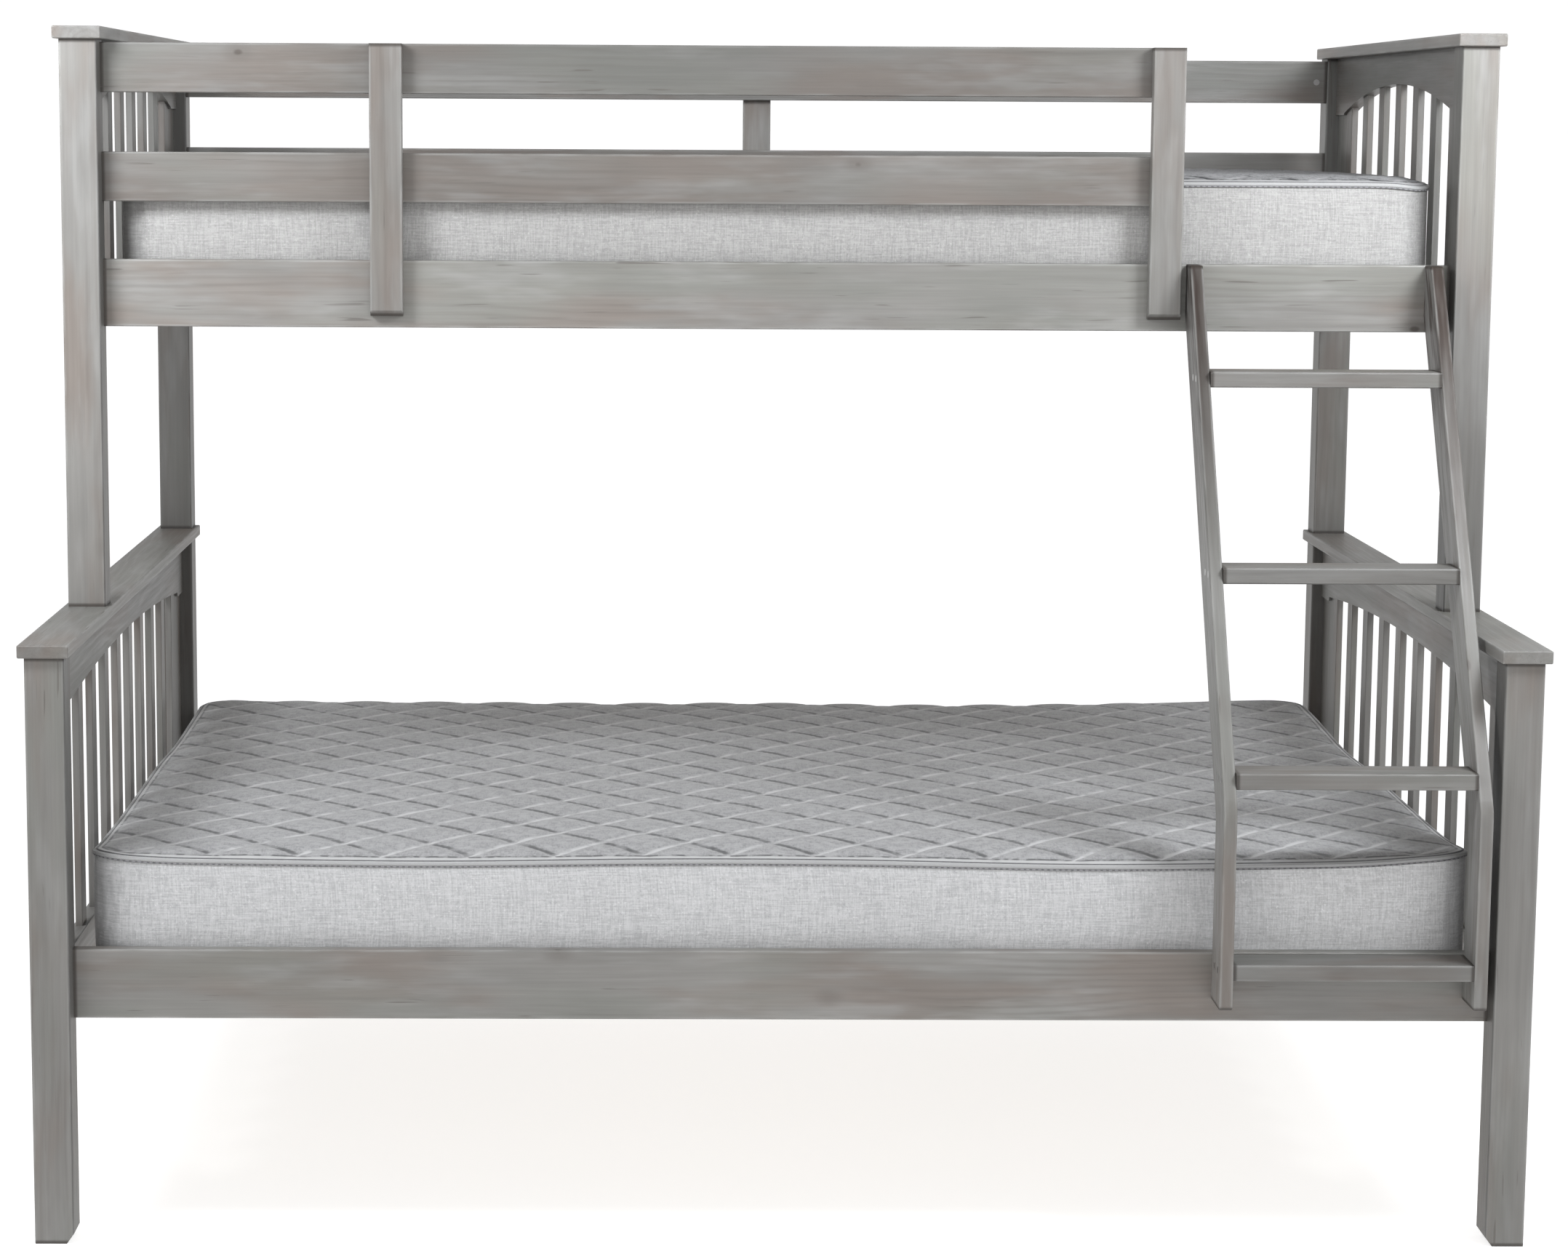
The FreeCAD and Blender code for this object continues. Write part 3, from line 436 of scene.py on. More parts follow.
def ticking_top(name, node, shade=1.0, lift=1.0):
    """Grey quilted top: pale lines one way, darker lines the other, over a fine grey weave."""
    m = Mat(name)
    tc = m.n("ShaderNodeTexCoord")
    x, y, z = m.sep(tc.outputs["Object"])
    wob = m.noise(m.scaled(tc.outputs["Object"], (26.0, 26.0, 26.0)), 1.0, 2.0, 0.5)
    wobf = m.math("MULTIPLY_ADD", wob.outputs["Fac"], 0.090, -0.045)
    xs, ys = m.math("DIVIDE", x, PX_Q), m.math("DIVIDE", y, PY_Q)
    fa = m.math("ADD", m.math("ADD", xs, ys), wobf)
    fb = m.math("ADD", m.math("SUBTRACT", xs, ys), wobf)

    def line_dist(f, phase):
        u = m.math("FRACT", m.math("ADD", f, 100.5 - phase))
        return m.math("ABSOLUTE", m.math("SUBTRACT", u, 0.5))
    da, db = line_dist(fa, A0), line_dist(fb, B0)
    # the pale line swells between crossings and narrows at them
    swell = m.range(da, 0.03, 0.18, 0.024, 0.052)
    pale = m.range(m.math("DIVIDE", db, swell), 0.35, 1.60, 1.0, 0.0)
    dark = m.range(da, 0.024, 0.086, 1.0, 0.0)
    dark = m.math("MULTIPLY", dark, m.range(db, 0.045, 0.12, 0.0, 1.0))
    brk = m.noise(m.scaled(tc.outputs["Object"], (30.0, 30.0, 30.0), (5.0, 2.0, 3.0)), 1.0, 2.0, 0.6)
    pale = m.math("MULTIPLY", pale, m.range(brk.outputs["Fac"], 0.36, 0.58, 0.12, 1.0))
    dark = m.math("MULTIPLY", dark, m.range(brk.outputs["Fac"], 0.68, 0.46, 0.30, 1.0))
    w1 = m.noise(m.scaled(tc.outputs["Object"], (420.0, 90.0, 420.0)), 1.0, 2.0, 0.6)
    w2 = m.noise(m.scaled(tc.outputs["Object"], (90.0, 420.0, 420.0), (3.0, 1.0, 4.0)), 1.0, 2.0, 0.6)
    w = m.math("ADD", m.math("MULTIPLY", w1.outputs["Fac"], 0.5), m.math("MULTIPLY", w2.outputs["Fac"], 0.5))
    base = m.mix(m.range(w, 0.34, 0.64), tuple(v * shade for v in (0.206, 0.206, 0.210)), tuple(v * shade for v in (0.312, 0.312, 0.317)))
    mot = m.noise(m.scaled(tc.outputs["Object"], (70.0, 70.0, 70.0), (9.0, 3.0, 1.0)), 1.0, 3.0, 0.6)
    base = m.mix(m.range(mot.outputs["Fac"], 0.40, 0.64, 0.0, 0.50), base, tuple(v * shade for v in (0.37, 0.37, 0.374)))
    col = m.mix(m.math("MULTIPLY", dark, 0.96), base, tuple(v * shade for v in (0.076, 0.077, 0.080)))
    col = m.mix(m.math("MULTIPLY", pale, 0.85), col, tuple(v * shade for v in (0.490, 0.490, 0.495)))
    # the binding is turned over the edge, with a broken row of dark stitches along its inner side
    lo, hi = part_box(node)
    rc = 0.0575
    qx = m.math("SUBTRACT", m.math("ABSOLUTE", m.math("SUBTRACT", x, (lo.x + hi.x) / 2)), (hi.x - lo.x) / 2 - 0.0045 - rc)
    qy = m.math("SUBTRACT", m.math("ABSOLUTE", m.math("SUBTRACT", y, (lo.y + hi.y) / 2)), (hi.y - lo.y) / 2 - 0.0045 - rc)
    ox, oy = m.math("MAXIMUM", qx, 0.0), m.math("MAXIMUM", qy, 0.0)
    rim = m.math("SQRT", m.math("ADD", m.math("MULTIPLY", ox, ox), m.math("MULTIPLY", oy, oy)))
    rim = m.math("SUBTRACT", m.math("ADD", rim, m.math("MINIMUM", m.math("MAXIMUM", qx, qy), 0.0)), rc)
    rim = m.math("ADD", rim, m.math("MULTIPLY_ADD", wob.outputs["Fac"], 0.0030, -0.0015))
    bind = m.range(rim, -0.0092, -0.0082)
    col = m.mix(m.math("MULTIPLY", bind, 0.85), col, tuple(v * shade for v in (0.43, 0.43, 0.43)))
    sew = m.math("MULTIPLY", m.range(rim, -0.0140, -0.0120), m.range(rim, -0.0100, -0.0088, 1.0, 0.0))
    gap = m.noise(m.scaled(tc.outputs["Object"], (75.0, 75.0, 75.0), (8.0, 1.0, 6.0)), 1.0, 1.0, 0.5)
    sew = m.math("MULTIPLY", sew, m.range(gap.outputs["Fac"], 0.42, 0.56, 0.15, 0.85))
    col = m.mix(sew, col, tuple(v * shade for v in (0.085, 0.085, 0.088)))
    m.l(col, m.b.inputs["Base Color"])
    m.l(m.math("MULTIPLY_ADD", w, 0.25, 0.74), m.b.inputs["Roughness"])
    m.b.inputs["Sheen Weight"].default_value = 0.2 * lift
    m.b.inputs["Sheen Roughness"].default_value = 0.5
    m.b.inputs["Specular IOR Level"].default_value = 0.25 * lift
    hh = m.math("MULTIPLY_ADD", pale, 0.5, w)
    m.bump(hh, 0.5, 0.0010)
    return m.m


def plain_cloth(name, c0, c1, fine=600.0, twill=False, bump=0.4):
    m = Mat(name)
    tc = m.n("ShaderNodeTexCoord")
    co = tc.outputs["Object"]
    n1 = m.noise(m.scaled(co, (fine, fine * 0.6, fine)), 1.0, 2.0, 0.6)
    h = n1.outputs["Fac"]
    if twill:
        x, y, z = m.sep(co)
        d = m.math("ADD", m.math("ADD", x, y), m.math("MULTIPLY", z, 1.6))
        s = m.math("MULTIPLY_ADD", m.math("SINE", m.math("MULTIPLY", d, 2 * math.pi / 0.0026)), 0.5, 0.5)
        h = m.math("MULTIPLY_ADD", s, 0.6, m.math("MULTIPLY", h, 0.4))
    m.l(m.mix(h, c0, c1), m.b.inputs["Base Color"])
    m.l(m.math("MULTIPLY_ADD", h, 0.25, 0.70), m.b.inputs["Roughness"])
    m.b.inputs["Sheen Weight"].default_value = 0.15
    m.b.inputs["Specular IOR Level"].default_value = 0.3
    m.bump(h, bump, 0.0008)
    return m.m


# the two mattresses share one fabric; the lower top is lifted a little as painted light, and the upper border and top
# are darker copies as painted shade, the upper border also tinted warmer
M_BORDER = ticking_border("mattress_border_weave", painted_light_from_x=0.60)
M_BORDER_UP_PAINTED_SHADE = ticking_border("upper_mattress_border_weave_painted_shade", shade=0.745, tint=(1.0, 0.985, 0.955))
M_TOP = ticking_top("mattress_quilted_top", "lower_mattress", shade=1.05)
M_TOP_UP_PAINTED_SHADE = ticking_top("upper_mattress_quilted_top_painted_shade", "upper_mattress", shade=0.80, lift=0.0)
M_TAPE = plain_cloth("mattress_binding_tape", (0.27, 0.27, 0.272), (0.43, 0.43, 0.432), twill=True)
M_SEAM_PAINTED_SHADOW = plain_cloth("mattress_seam_cord", (0.085, 0.085, 0.088), (0.19, 0.19, 0.195), fine=300.0)
M_THREAD = plain_cloth("mattress_thread", (0.20, 0.20, 0.21), (0.30, 0.30, 0.31), fine=1500.0)


# ------------------------------------------------------------------ mattresses
def mesh_object(name, verts, faces, material, smooth=True):
    me = bpy.data.meshes.new(name)
    me.from_pydata([tuple(map(float, v)) for v in verts], [], [tuple(int(i) for i in f) for f in faces])
    me.materials.append(material)
    me.validate()
    if smooth:
        me.polygons.foreach_set("use_smooth", [True] * len(me.polygons))
    me.update()
    o = bpy.data.objects.new(name, me)
    scene.collection.objects.link(o)
    return o


def to_round(x, y, hx, hy, r):
    """Points of a rectangle moved onto the same rectangle with round corners."""
    ax, ay = np.abs(x), np.abs(y)
    u = np.clip((ax - (hx - r)) / r, 0, 1)
    v = np.clip((ay - (hy - r)) / r, 0, 1)
    both = (u > 0) & (v > 0)
    ux = u * np.sqrt(1 - v * v / 2)
    vy = v * np.sqrt(1 - u * u / 2)
    nx = np.where(both, (hx - r) + ux * r, ax)
    ny = np.where(both, (hy - r) + vy * r, ay)
    return np.sign(x) * nx, np.sign(y) * ny


def grid_axis(h, r, step):
    """Coordinates from -h to h whose spacing is finer in the corners."""
    n = max(4, int(round((2 * h - 2 * r) / step)))
    mid = np.linspace(-(h - r), h - r, n + 1)
    k = max(3, int(math.ceil(r / step)) + 1)
    end = (h - r) + r * np.linspace(0, 1, k + 1)[1:]
    return np.concatenate([-end[::-1], mid, end])


def border_loop(nx, ny):
    """Indices (i, j) round the edge of an nx by ny grid, anticlockwise seen from above."""
    loop = [(i, 0) for i in range(nx - 1)] + [(nx - 1, j) for j in range(ny - 1)]
    loop += [(i, ny - 1) for i in range(nx - 1, 0, -1)] + [(0, j) for j in range(ny - 1, 0, -1)]
    return loop


def wander(s, total, seed, waves, amp):
    """A smooth closed random wave along a loop of length total."""
    rnd = np.random.default_rng(seed)
    out = np.zeros_like(s)
    for k in waves:
        out += rnd.normal(0, 1) * np.cos(2 * np.pi * k * s / total + rnd.uniform(0, 2 * np.pi)) / math.sqrt(len(waves))
    return out * amp


def smooth2(x, a, b):
    t = np.clip((x - a) / (b - a), 0, 1)
    return t * t * (3 - 2 * t)


def inflate(hx, hy, r, height, step):
    """Coarse closed pad, blown up by cloth pressure with both edge seams held.
    Returns the rise of the top (grid), and the outward bulge of the wall (loop by rows)."""
    xs, ys = grid_axis(hx, r, step), grid_axis(hy, r, step)
    nx, ny = len(xs), len(ys)
    X, Y = np.meshgrid(xs, ys, indexing="ij")
    RX, RY = to_round(X, Y, hx, hy, r)
    rows = max(6, int(round(height / step)))
    loop = border_loop(nx, ny)
    zs = np.linspace(height, 0, rows + 1)
    top = np.stack([RX.ravel(), RY.ravel(), np.full(nx * ny, height)], 1)
    bot = np.stack([RX.ravel(), RY.ravel(), np.zeros(nx * ny)], 1)
    verts = [top, bot]
    idx = lambda i, j: i * ny + j
    base = 2 * nx * ny
    ring_ids = [[idx(i, j) for i, j in loop]]
    for k in range(1, rows):
        ids = []
        ring = np.array([[RX[i, j], RY[i, j], zs[k]] for i, j in loop])
        verts.append(ring)
        ring_ids.append(list(range(base, base + len(loop))))
        base += len(loop)
    ring_ids.append([nx * ny + idx(i, j) for i, j in loop])
    faces = []
    for i in range(nx - 1):
        for j in range(ny - 1):
            faces.append((idx(i, j), idx(i + 1, j), idx(i + 1, j + 1), idx(i, j + 1)))
            q = nx * ny
            faces.append((q + idx(i, j), q + idx(i, j + 1), q + idx(i + 1, j + 1), q + idx(i + 1, j)))
    L = len(loop)
    for k in range(rows):
        for a in range(L):
            b = (a + 1) % L
            faces.append((ring_ids[k][a], ring_ids[k + 1][a], ring_ids[k + 1][b], ring_ids[k][b]))
    V = np.concatenate(verts)
    o = mesh_object("pad_sim", V, faces, M_TOP)
    group = o.vertex_groups.new(name="seams")
    group.add(ring_ids[0] + ring_ids[-1], 1.0, "REPLACE")
    mod = o.modifiers.new("cloth", "CLOTH")
    st = mod.settings
    st.quality = 4
    st.mass = 0.4
    st.tension_stiffness = st.compression_stiffness = 60.0
    st.shear_stiffness = 20.0
    st.bending_stiffness = 2.0
    st.use_pressure = True
    st.uniform_pressure_force = 4.0
    st.vertex_group_mass = "seams"
    st.effector_weights.gravity = 0.0
    mod.collision_settings.use_collision = False
    mod.collision_settings.use_self_collision = False
    mod.point_cache.frame_start, mod.point_cache.frame_end = 1, 24
    for f in range(1, 21):
        scene.frame_set(f)
    dg = bpy.context.evaluated_depsgraph_get()
    ev = o.evaluated_get(dg).to_mesh()
    P = np.zeros(len(ev.vertices) * 3)
    ev.vertices.foreach_get("co", P)
    P = P.reshape(-1, 3)
    me = o.data
    bpy.data.objects.remove(o)
    bpy.data.meshes.remove(me)
    scene.frame_set(1)
    rise = (P[:nx * ny, 2] - V[:nx * ny, 2]).reshape(nx, ny)
    bulge = np.zeros((rows + 1, L))
    for k in range(1, rows):
        d = P[ring_ids[k]] - V[ring_ids[k]]
        i = np.array([RX[a] for a in loop]), np.array([RY[a] for a in loop])
        nrm = outward(i[0], i[1], hx, hy, r)
        bulge[k] = d[:, 0] * nrm[:, 0] + d[:, 1] * nrm[:, 1]
    return xs, ys, rise, bulge, zs


def outward(x, y, hx, hy, r):
    """Outward normal on the rounded rectangle's edge."""
    cx = np.sign(x) * np.maximum(np.abs(x) - (hx - r), 0)
    cy = np.sign(y) * np.maximum(np.abs(y) - (hy - r), 0)
    n = np.stack([cx, cy], 1)
    ln = np.linalg.norm(n, axis=1, keepdims=True)
    return n / np.maximum(ln, 1e-9)


def upsample(src_x, src_y, values, x, y):
    """Smooth interpolation of a coarse grid at the points x by y."""
    def cubic(knots, vals, at):
        # Catmull-Rom along the first axis
        i = np.clip(np.searchsorted(knots, at) - 1, 0, len(knots) - 2)
        h = knots[i + 1] - knots[i]
        t = ((at - knots[i]) / h)[:, None]
        p1, p2 = vals[i], vals[i + 1]
        i0, i3 = np.maximum(i - 1, 0), np.minimum(i + 2, len(knots) - 1)
        m1 = (p2 - vals[i0]) / np.maximum(knots[i + 1] - knots[i0], 1e-9)[:, None] * h[:, None]
        m2 = (vals[i3] - p1) / np.maximum(knots[i3] - knots[i], 1e-9)[:, None] * h[:, None]
        t2, t3 = t * t, t * t * t
        return (2 * t3 - 3 * t2 + 1) * p1 + (t3 - 2 * t2 + t) * m1 + (-2 * t3 + 3 * t2) * p2 + (t3 - t2) * m2
    a = cubic(src_x, values, x)
    return cubic(src_y, a.T, y).T


def edge_loop_points(hx, hy, r, step):
    """Evenly spaced points round the rounded rectangle, with normals and arc length."""
    pts = []
    for cx, cy, a0 in ((hx - r, hy - r, 0.0), (-(hx - r), hy - r, 90.0), (-(hx - r), -(hy - r), 180.0), (hx - r, -(hy - r), 270.0)):
        for k in range(25):
            t = math.radians(a0 + 90.0 * k / 24)
            pts.append((cx + r * math.cos(t), cy + r * math.sin(t)))
    P = np.array(pts + pts[:1])
    d = np.concatenate([[0], np.cumsum(np.linalg.norm(np.diff(P, axis=0), axis=1))])
    n = int(round(d[-1] / step))
    s = np.arange(n) * d[-1] / n
    x = np.interp(s, d, P[:, 0])
    y = np.interp(s, d, P[:, 1])
    return x, y, outward(x, y, hx, hy, r), s, d[-1]


def tube(name, centre, normal, along, up_r, out_r, material, sides=10, closed=True):
    """Flattened tape swept along a closed loop; out_r is its half thickness, up_r its half height."""
    n = len(centre)
    ang = np.linspace(0, 2 * np.pi, sides, endpoint=False)
    V = []
    for k in range(n):
        o = np.array([normal[k, 0], normal[k, 1], 0.0])
        for t in ang:
            c, s = math.cos(t), math.sin(t)
            e = np.sign(c) * abs(c) ** 0.8 * out_r, np.sign(s) * abs(s) ** 0.8 * up_r
            V.append(centre[k] + o * e[0] + np.array([0, 0, 1.0]) * e[1])
    F = []
    for k in range(n):
        q = (k + 1) % n
        for a in range(sides):
            b = (a + 1) % sides
            F.append((k * sides + a, q * sides + a, q * sides + b, k * sides + b))
    return mesh_object(name, V, F, material)


def stitches(name, centre, normal, pitch_n, out, half_len, rad, material, drop=0.0):
    """Short thread dashes laid along a loop, as small six-sided spindles."""
    n = len(centre)
    V, F = [], []
    prof = ((-1.0, 0.15), (-0.7, 0.85), (0.0, 1.0), (0.7, 0.85), (1.0, 0.15))
    for k in range(0, n, pitch_n):
        c = centre[k] + np.array([normal[k, 0], normal[k, 1], 0]) * out + np.array([0, 0, drop])
        d = centre[(k + 1) % n] - centre[k - 1]
        d = d / np.linalg.norm(d)
        o = np.array([normal[k, 0], normal[k, 1], 0.0])
        u = np.cross(d, o)
        base = len(V)
        for a, w in prof:
            for j in range(6):
                t = j * math.pi / 3
                V.append(c + d * a * half_len + (o * math.cos(t) + u * math.sin(t)) * rad * w)
        for a in range(4):
            for j in range(6):
                q = (j + 1) % 6
                F.append((base + a * 6 + j, base + a * 6 + q, base + (a + 1) * 6 + q, base + (a + 1) * 6 + j))
        F.append(tuple(base + j for j in range(5, -1, -1)))
        F.append(tuple(base + 24 + j for j in range(6)))
    return mesh_object(name, V, F, material)


def mattress(prefix, node, body, seed, free_z, proud, top_rise, tick, weave, corners, sink):
    """Quilted mattress in the space of its CAD solid. Above free_z its walls may stand `proud` outside the solid's box."""
    lo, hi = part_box(node)
    cx, cy = (lo.x + hi.x) / 2, (lo.y + hi.y) / 2
    r = 0.062
    inset = 0.0045
    hx, hy = (hi.x - lo.x) / 2 - inset, (hi.y - lo.y) / 2 - inset
    rr = r - inset
    z0, z1 = lo.z, hi.z
    H = z1 - z0
    tape_h, tape_t = 0.0025, 0.0028
    seam_top, seam_bot = z1 - sink, z0 + 0.0065
    hs = seam_top - seam_bot
    sim = inflate(hx, hy, rr, hs, 0.024)

    def corner_lift(px, py):
        # each corner of the top seam is pulled up or down by the border turning round it: (x side, y side, height, reach)
        out = 0 * px
        for sx, sy, up, reach in corners:
            d = np.hypot(sx * hx - px, sy * hy - py)
            out = out + up * np.exp(-(d / reach) ** 2)
        return out

    # ---- one closed pad: quilted top, border wall and underside share their seam loops
    step = 0.0080 if hy > 0.6 else 0.0069
    xs, ys = grid_axis(hx, rr, step), grid_axis(hy, rr, step)
    nx, ny = len(xs), len(ys)
    X, Y = np.meshgrid(xs, ys, indexing="ij")
    RX, RY = to_round(X, Y, hx, hy, rr)
    # distance to the edge of the rounded rectangle
    qx, qy = np.abs(RX) - (hx - rr), np.abs(RY) - (hy - rr)
    outer = np.sqrt(np.maximum(qx, 0) ** 2 + np.maximum(qy, 0) ** 2)
    D = rr - np.where((qx > 0) & (qy > 0), outer, np.maximum(qx, qy))
    D = np.maximum(D, 0.0)
    perim = 4 * (hx + hy)

    def seam_wave(px, py):
        # the sewn edge is a little wavy in height
        at = (np.arctan2(py / hy, px / hx) / (2 * np.pi) % 1.0) * perim
        return wander(at, perim, seed + 5, (3, 5, 8, 13), 0.0020) + corner_lift(px, py)

    if sim is not None:
        rise = upsample(sim[0], sim[1], sim[2], xs, ys)
        rise = top_rise * np.tanh(np.maximum(rise, 0) / (0.21 * max(float(sim[2].max()), 1e-6)))
    else:
        rise = top_rise * np.tanh(D / 0.09)
    shoulder = 0.0058 * (1 - np.exp(-D / 0.012))
    WX, WY = RX + cx, RY + cy
    fa, fb = WX / PX_Q + WY / PY_Q, WX / PX_Q - WY / PY_Q
    sp = 1.0 / math.sqrt(1 / PX_Q ** 2 + 1 / PY_Q ** 2)
    da = np.abs((fa - A0 + 100.5) % 1.0 - 0.5) * sp
    db = np.abs((fb - B0 + 100.5) % 1.0 - 0.5) * sp
    puff = (1 - np.exp(-da / 0.011)) * (1 - np.exp(-db / 0.011))
    fade = smooth2(D, 0.004, 0.030)
    rnd = np.random.default_rng(seed)
    low = np.zeros_like(WX)
    for k in range(14):
        kx, ky = rnd.normal(0, 5.0), rnd.normal(0, 5.0)
        low += np.cos(kx * WX + ky * WY + rnd.uniform(0, 6.28)) / 14 ** 0.5
    top_z = seam_top + 0.001 + shoulder + rise + fade * (0.0050 * puff - 0.0022) + smooth2(D, 0.0, 0.10) * 0.0016 * low
    top_z = top_z + seam_wave(RX, RY) * np.exp(-D / 0.05)
    # underside, flat on the slats but for its quilting
    bz = seam_bot - 0.001 - 0.0052 * (1 - np.exp(-D / 0.013)) - smooth2(D, 0.004, 0.03) * 0.0018 * puff
    bz = np.maximum(bz, z0 - 0.0002)
    # wall
    loop = border_loop(nx, ny)
    li, lj = np.array([i for i, j in loop]), np.array([j for i, j in loop])
    ex, ey = RX[li, lj], RY[li, lj]
    nrm = outward(ex, ey, hx, hy, rr)
    s = np.concatenate([[0.0], np.cumsum(np.hypot(np.diff(ex), np.diff(ey)))])
    total = s[-1] + math.hypot(ex[0] - ex[-1], ey[0] - ey[-1])
    L = len(loop)
    rows = 20
    t = np.linspace(0, 1, rows + 1)           # 0 at the top seam
    if sim is not None:
        # the simulated bulge, read by the angle round the outline
        gx, gy = sim[0], sim[1]
        gl = border_loop(len(gx), len(gy))
        GX, GY = np.meshgrid(gx, gy, indexing="ij")
        GX, GY = to_round(GX, GY, hx, hy, rr)
        la = np.array([math.atan2(GY[i, j] / hy, GX[i, j] / hx) for i, j in gl])
        order = np.argsort(la)
        kk = sim[3].shape[0] - 1
        st = np.linspace(0, 1, kk + 1)
        ea = np.arctan2(ey / hy, ex / hx)
        tmp = np.zeros((kk + 1, L))
        xp = np.concatenate([la[order] - 2 * np.pi, la[order], la[order] + 2 * np.pi])
        for k in range(kk + 1):
            tmp[k] = np.interp(ea, xp, np.tile(sim[3][k][order], 3))
        B = np.array([np.interp(t, st, tmp[:, i]) for i in range(L)]).T
        peak = max(float(np.median(np.abs(B[rows // 2]))), 1e-6)
        B = np.tanh(np.maximum(B, 0) / peak)
    else:
        B = np.tile(np.sin(np.pi * t)[:, None] ** 0.7, (1, L))
    for _ in range(4):
        B = (B + np.roll(B, 1, 1) + np.roll(B, -1, 1)) / 3
    w1 = wander(s, total, seed + 40, (9, 14, 22, 31), 0.0005)
    w2 = wander(s, total, seed + 41, (11, 17, 26, 37), 0.0004)
    turn = np.exp(-(np.hypot(hx - np.abs(ex), hy - np.abs(ey)) / 0.055) ** 2)
    crease = 0.0009 * turn * np.cos(2 * np.pi * s / 0.026)
    ztop = top_z[li, lj]
    wall = np.zeros((rows - 1, L, 3))
    for k in range(1, rows):
        zt = ztop * (1 - t[k]) + bz[li, lj] * t[k]
        lim_in = inset - 0.0002
        room = np.where(zt > free_z, inset + proud, lim_in)
        room = lim_in + (room - lim_in) * smooth2(zt, free_z - 0.001, free_z + 0.030)
        want = 0.0014 + B[k] * (inset + max(proud, 0.0) - 0.0014)
        want = want + (w1 + crease) * math.sin(math.pi * t[k]) + w2 * math.sin(2 * math.pi * t[k])
        outv = np.minimum(want, room)
        wall[k - 1, :, 0] = cx + ex + nrm[:, 0] * outv
        wall[k - 1, :, 1] = cy + ey + nrm[:, 1] * outv
        wall[k - 1, :, 2] = zt
    n = nx * ny
    V = np.concatenate([np.stack([WX.ravel(), WY.ravel(), top_z.ravel()], 1), wall.reshape(-1, 3),
                        np.stack([WX.ravel(), WY.ravel(), bz.ravel()], 1)])
    nw = n + (rows - 1) * L
    ids = [li * ny + lj] + [n + k * L + np.arange(L) for k in range(rows - 1)] + [nw + li * ny + lj]
    ii, jj = np.meshgrid(np.arange(nx - 1), np.arange(ny - 1), indexing="ij")
    q = (ii * ny + jj).ravel()
    ftop = np.stack([q, q + ny, q + ny + 1, q + 1], 1)
    fbot = nw + np.stack([q, q + 1, q + ny + 1, q + ny], 1)
    fwall = np.concatenate([np.stack([ids[k], ids[k + 1], np.roll(ids[k + 1], -1), np.roll(ids[k], -1)], 1) for k in range(rows)])
    F = np.concatenate([ftop, fbot, fwall])
    pad = mesh_object(prefix + "_pad", V, F, tick)
    pad.data.materials.append(weave)
    mi = np.zeros(len(F), dtype=np.int32)
    mi[len(ftop) + len(fbot):] = 1
    pad.data.polygons.foreach_set("material_index", mi)
    pad.data.update()
    made = [pad]
    # ---- binding tapes with their stitch lines
    fine = edge_loop_points(hx, hy, rr, 0.0040)
    fx, fy, fn, fs, ft = fine
    fw = seam_wave(fx, fy)
    for tag, z, w, sg in (("top", seam_top, fw, 1), ("base", seam_bot, 0 * fw, -1)):
        out = inset - tape_t - 0.0003
        c = np.stack([cx + fx + fn[:, 0] * out, cy + fy + fn[:, 1] * out, np.full(len(fx), z - sg * 0.0016) + w], 1)
        made.append(tube("%s_tape_%s" % (prefix, tag), c, fn, fs, tape_h, tape_t, M_TAPE))
        # the sunk seam between the tape and the quilted panel, and its row of stitches; both dark cords are painted
        # shadow, one in the seam between tape and panel and one beneath the tape, where the stitches run
        q = c - np.stack([fn[:, 0], fn[:, 1], 0 * fx], 1) * (tape_t + 0.0012) + np.array([0, 0, sg * (tape_h + 0.0008)])
        made.append(tube("%s_seam_%s" % (prefix, tag), q, fn, fs, 0.0013, 0.0015, M_SEAM_PAINTED_SHADOW, sides=6))
        u = c + np.stack([fn[:, 0], fn[:, 1], 0 * fx], 1) * 0.0006 - np.array([0, 0, sg * (tape_h + 0.0006)])
        made.append(tube("%s_under_seam_%s" % (prefix, tag), u, fn, fs, 0.0015, 0.0018, M_SEAM_PAINTED_SHADOW, sides=6))
        made.append(stitches("%s_stitches_%s" % (prefix, tag), u, fn, 2, 0.0011, 0.0030, 0.0010, M_THREAD))
    for o in made:
        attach(o, body)
    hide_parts(node)
    return made


mattress("lower_mattress", "lower_mattress", "lower_mattress_body", 11, 0.405, 0.0030, 0.0055, M_TOP, M_BORDER,
         ((-1, -1, 0.0060, 0.075), (1, -1, 0.0110, 0.110), (-1, 1, 0.0035, 0.10), (1, 1, 0.0100, 0.30)), 0.0022)
mattress("upper_mattress", "upper_mattress", "upper_mattress_body", 23, 9.0, 0.0, 0.0050, M_TOP_UP_PAINTED_SHADE, M_BORDER_UP_PAINTED_SHADE,
         ((-1, -1, -0.0030, 0.060), (1, -1, -0.0060, 0.045), (-1, 1, 0.0030, 0.10), (1, 1, -0.0020, 0.08)), 0.0055)


# ------------------------------------------------------------------ floor, world and lights
def make_floor():
    me = bpy.data.meshes.new("studio_floor")
    R = 900.0
    me.from_pydata([(-R, -R, 0), (R, -R, 0), (R, R, 0), (-R, R, 0)], [], [(0, 1, 2, 3)])
    m = Mat("studio_floor_paint")
    m.b.inputs["Base Color"].default_value = (0.55, 0.55, 0.55, 1)
    m.b.inputs["Roughness"].default_value = 0.9
    m.b.inputs["Specular IOR Level"].default_value = 0.1
    m.b.inputs["Emission Color"].default_value = (1, 1, 1, 1)
    m.b.inputs["Emission Strength"].default_value = 0.70
    me.materials.append(m.m)
    o = bpy.data.objects.new("studio_floor", me)
    scene.collection.objects.link(o)


make_floor()
world = bpy.data.worlds.new("studio")
scene.world = world
world.use_nodes = True
wt = world.node_tree
bg = wt.nodes["Background"]
bg.inputs["Color"].default_value = (1.0, 1.0, 1.0, 1)
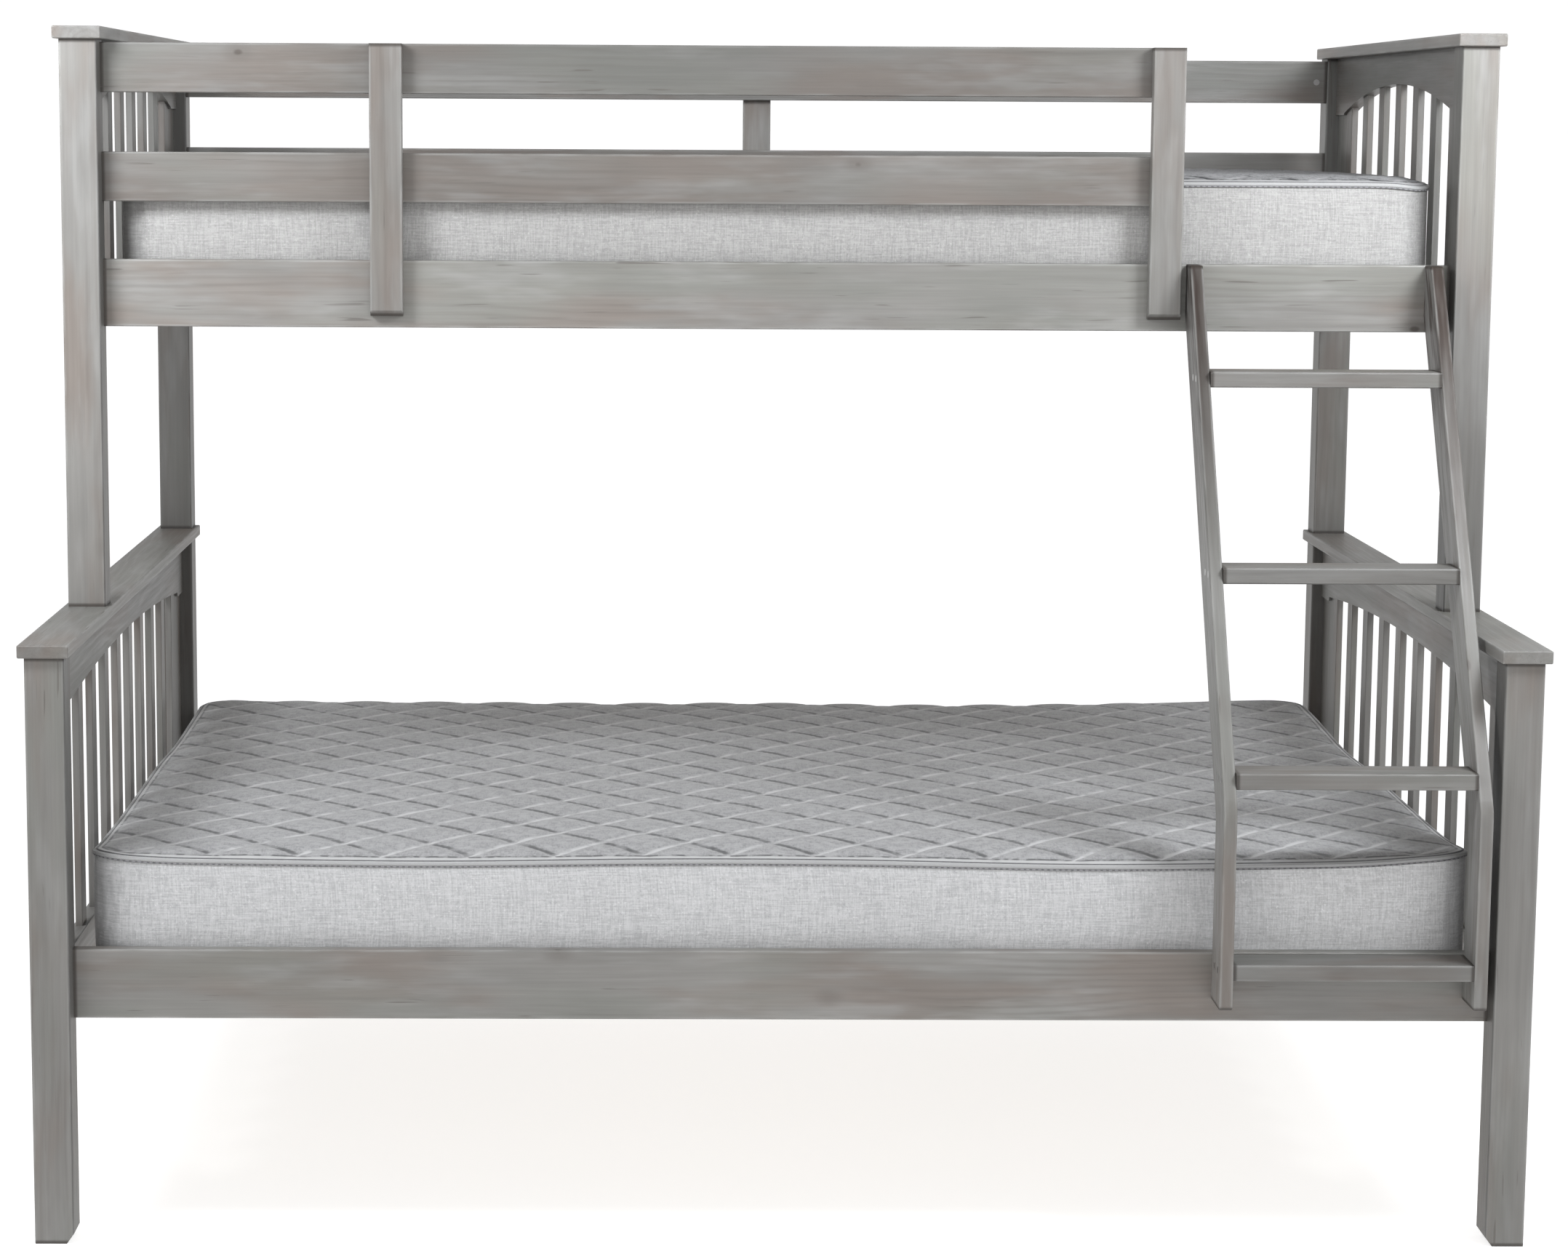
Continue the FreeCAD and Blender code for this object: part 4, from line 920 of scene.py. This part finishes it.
# a pale room, a little brighter overhead, with a white wall all round
wtc = wt.nodes.new("ShaderNodeTexCoord")
wsep = wt.nodes.new("ShaderNodeSeparateXYZ")
wt.links.new(wtc.outputs["Generated"], wsep.inputs[0])


def wrange(src, a, b, c, d):
    n = wt.nodes.new("ShaderNodeMapRange")
    n.interpolation_type = "SMOOTHSTEP"
    wt.links.new(src, n.inputs["Value"])
    for k, v in (("From Min", a), ("From Max", b), ("To Min", c), ("To Max", d)):
        n.inputs[k].default_value = v
    return n.outputs[0]


def wadd(a, b):
    n = wt.nodes.new("ShaderNodeMath")
    n.operation = "ADD"
    wt.links.new(a, n.inputs[0])
    wt.links.new(b, n.inputs[1])
    return n.outputs[0]


wall = wrange(wsep.outputs["Z"], 0.30, 0.17, 0.0, 0.62)
front = wrange(wsep.outputs["Y"], 0.0, -0.9, 0.40, 0.50)
over = wrange(wsep.outputs["Z"], 0.2, 1.0, 0.0, 0.35)
wabs = wt.nodes.new("ShaderNodeMath")
wabs.operation = "ABSOLUTE"
wt.links.new(wsep.outputs["X"], wabs.inputs[0])
sides = wrange(wabs.outputs[0], 0.35, 0.90, 0.0, -0.17)
wt.links.new(wadd(wadd(wadd(wall, front), over), sides), bg.inputs["Strength"])


def area(name, loc, target, size, power, color=(1, 1, 1)):
    d = bpy.data.lights.new(name, "AREA")
    d.shape = "RECTANGLE"
    d.size, d.size_y = size
    d.energy = power
    d.color = color
    o = bpy.data.objects.new(name, d)
    o.location = loc
    v = Vector(target) - Vector(loc)
    o.rotation_euler = v.to_track_quat("-Z", "Y").to_euler()
    scene.collection.objects.link(o)


area("key_left", (-1.55, -1.25, 2.15), (-0.98, -0.33, 1.50), (0.6, 0.5), 31.0, (0.94, 0.97, 1.0))
area("key_right", (1.50, -1.25, 2.15), (0.98, -0.33, 1.50), (0.6, 0.5), 34.0, (0.94, 0.97, 1.0))
area("front_soft", (0.6, -5.2, 2.1), (0.1, -0.4, 0.7), (2.6, 1.8), 24.0, (1.0, 1.0, 1.0))
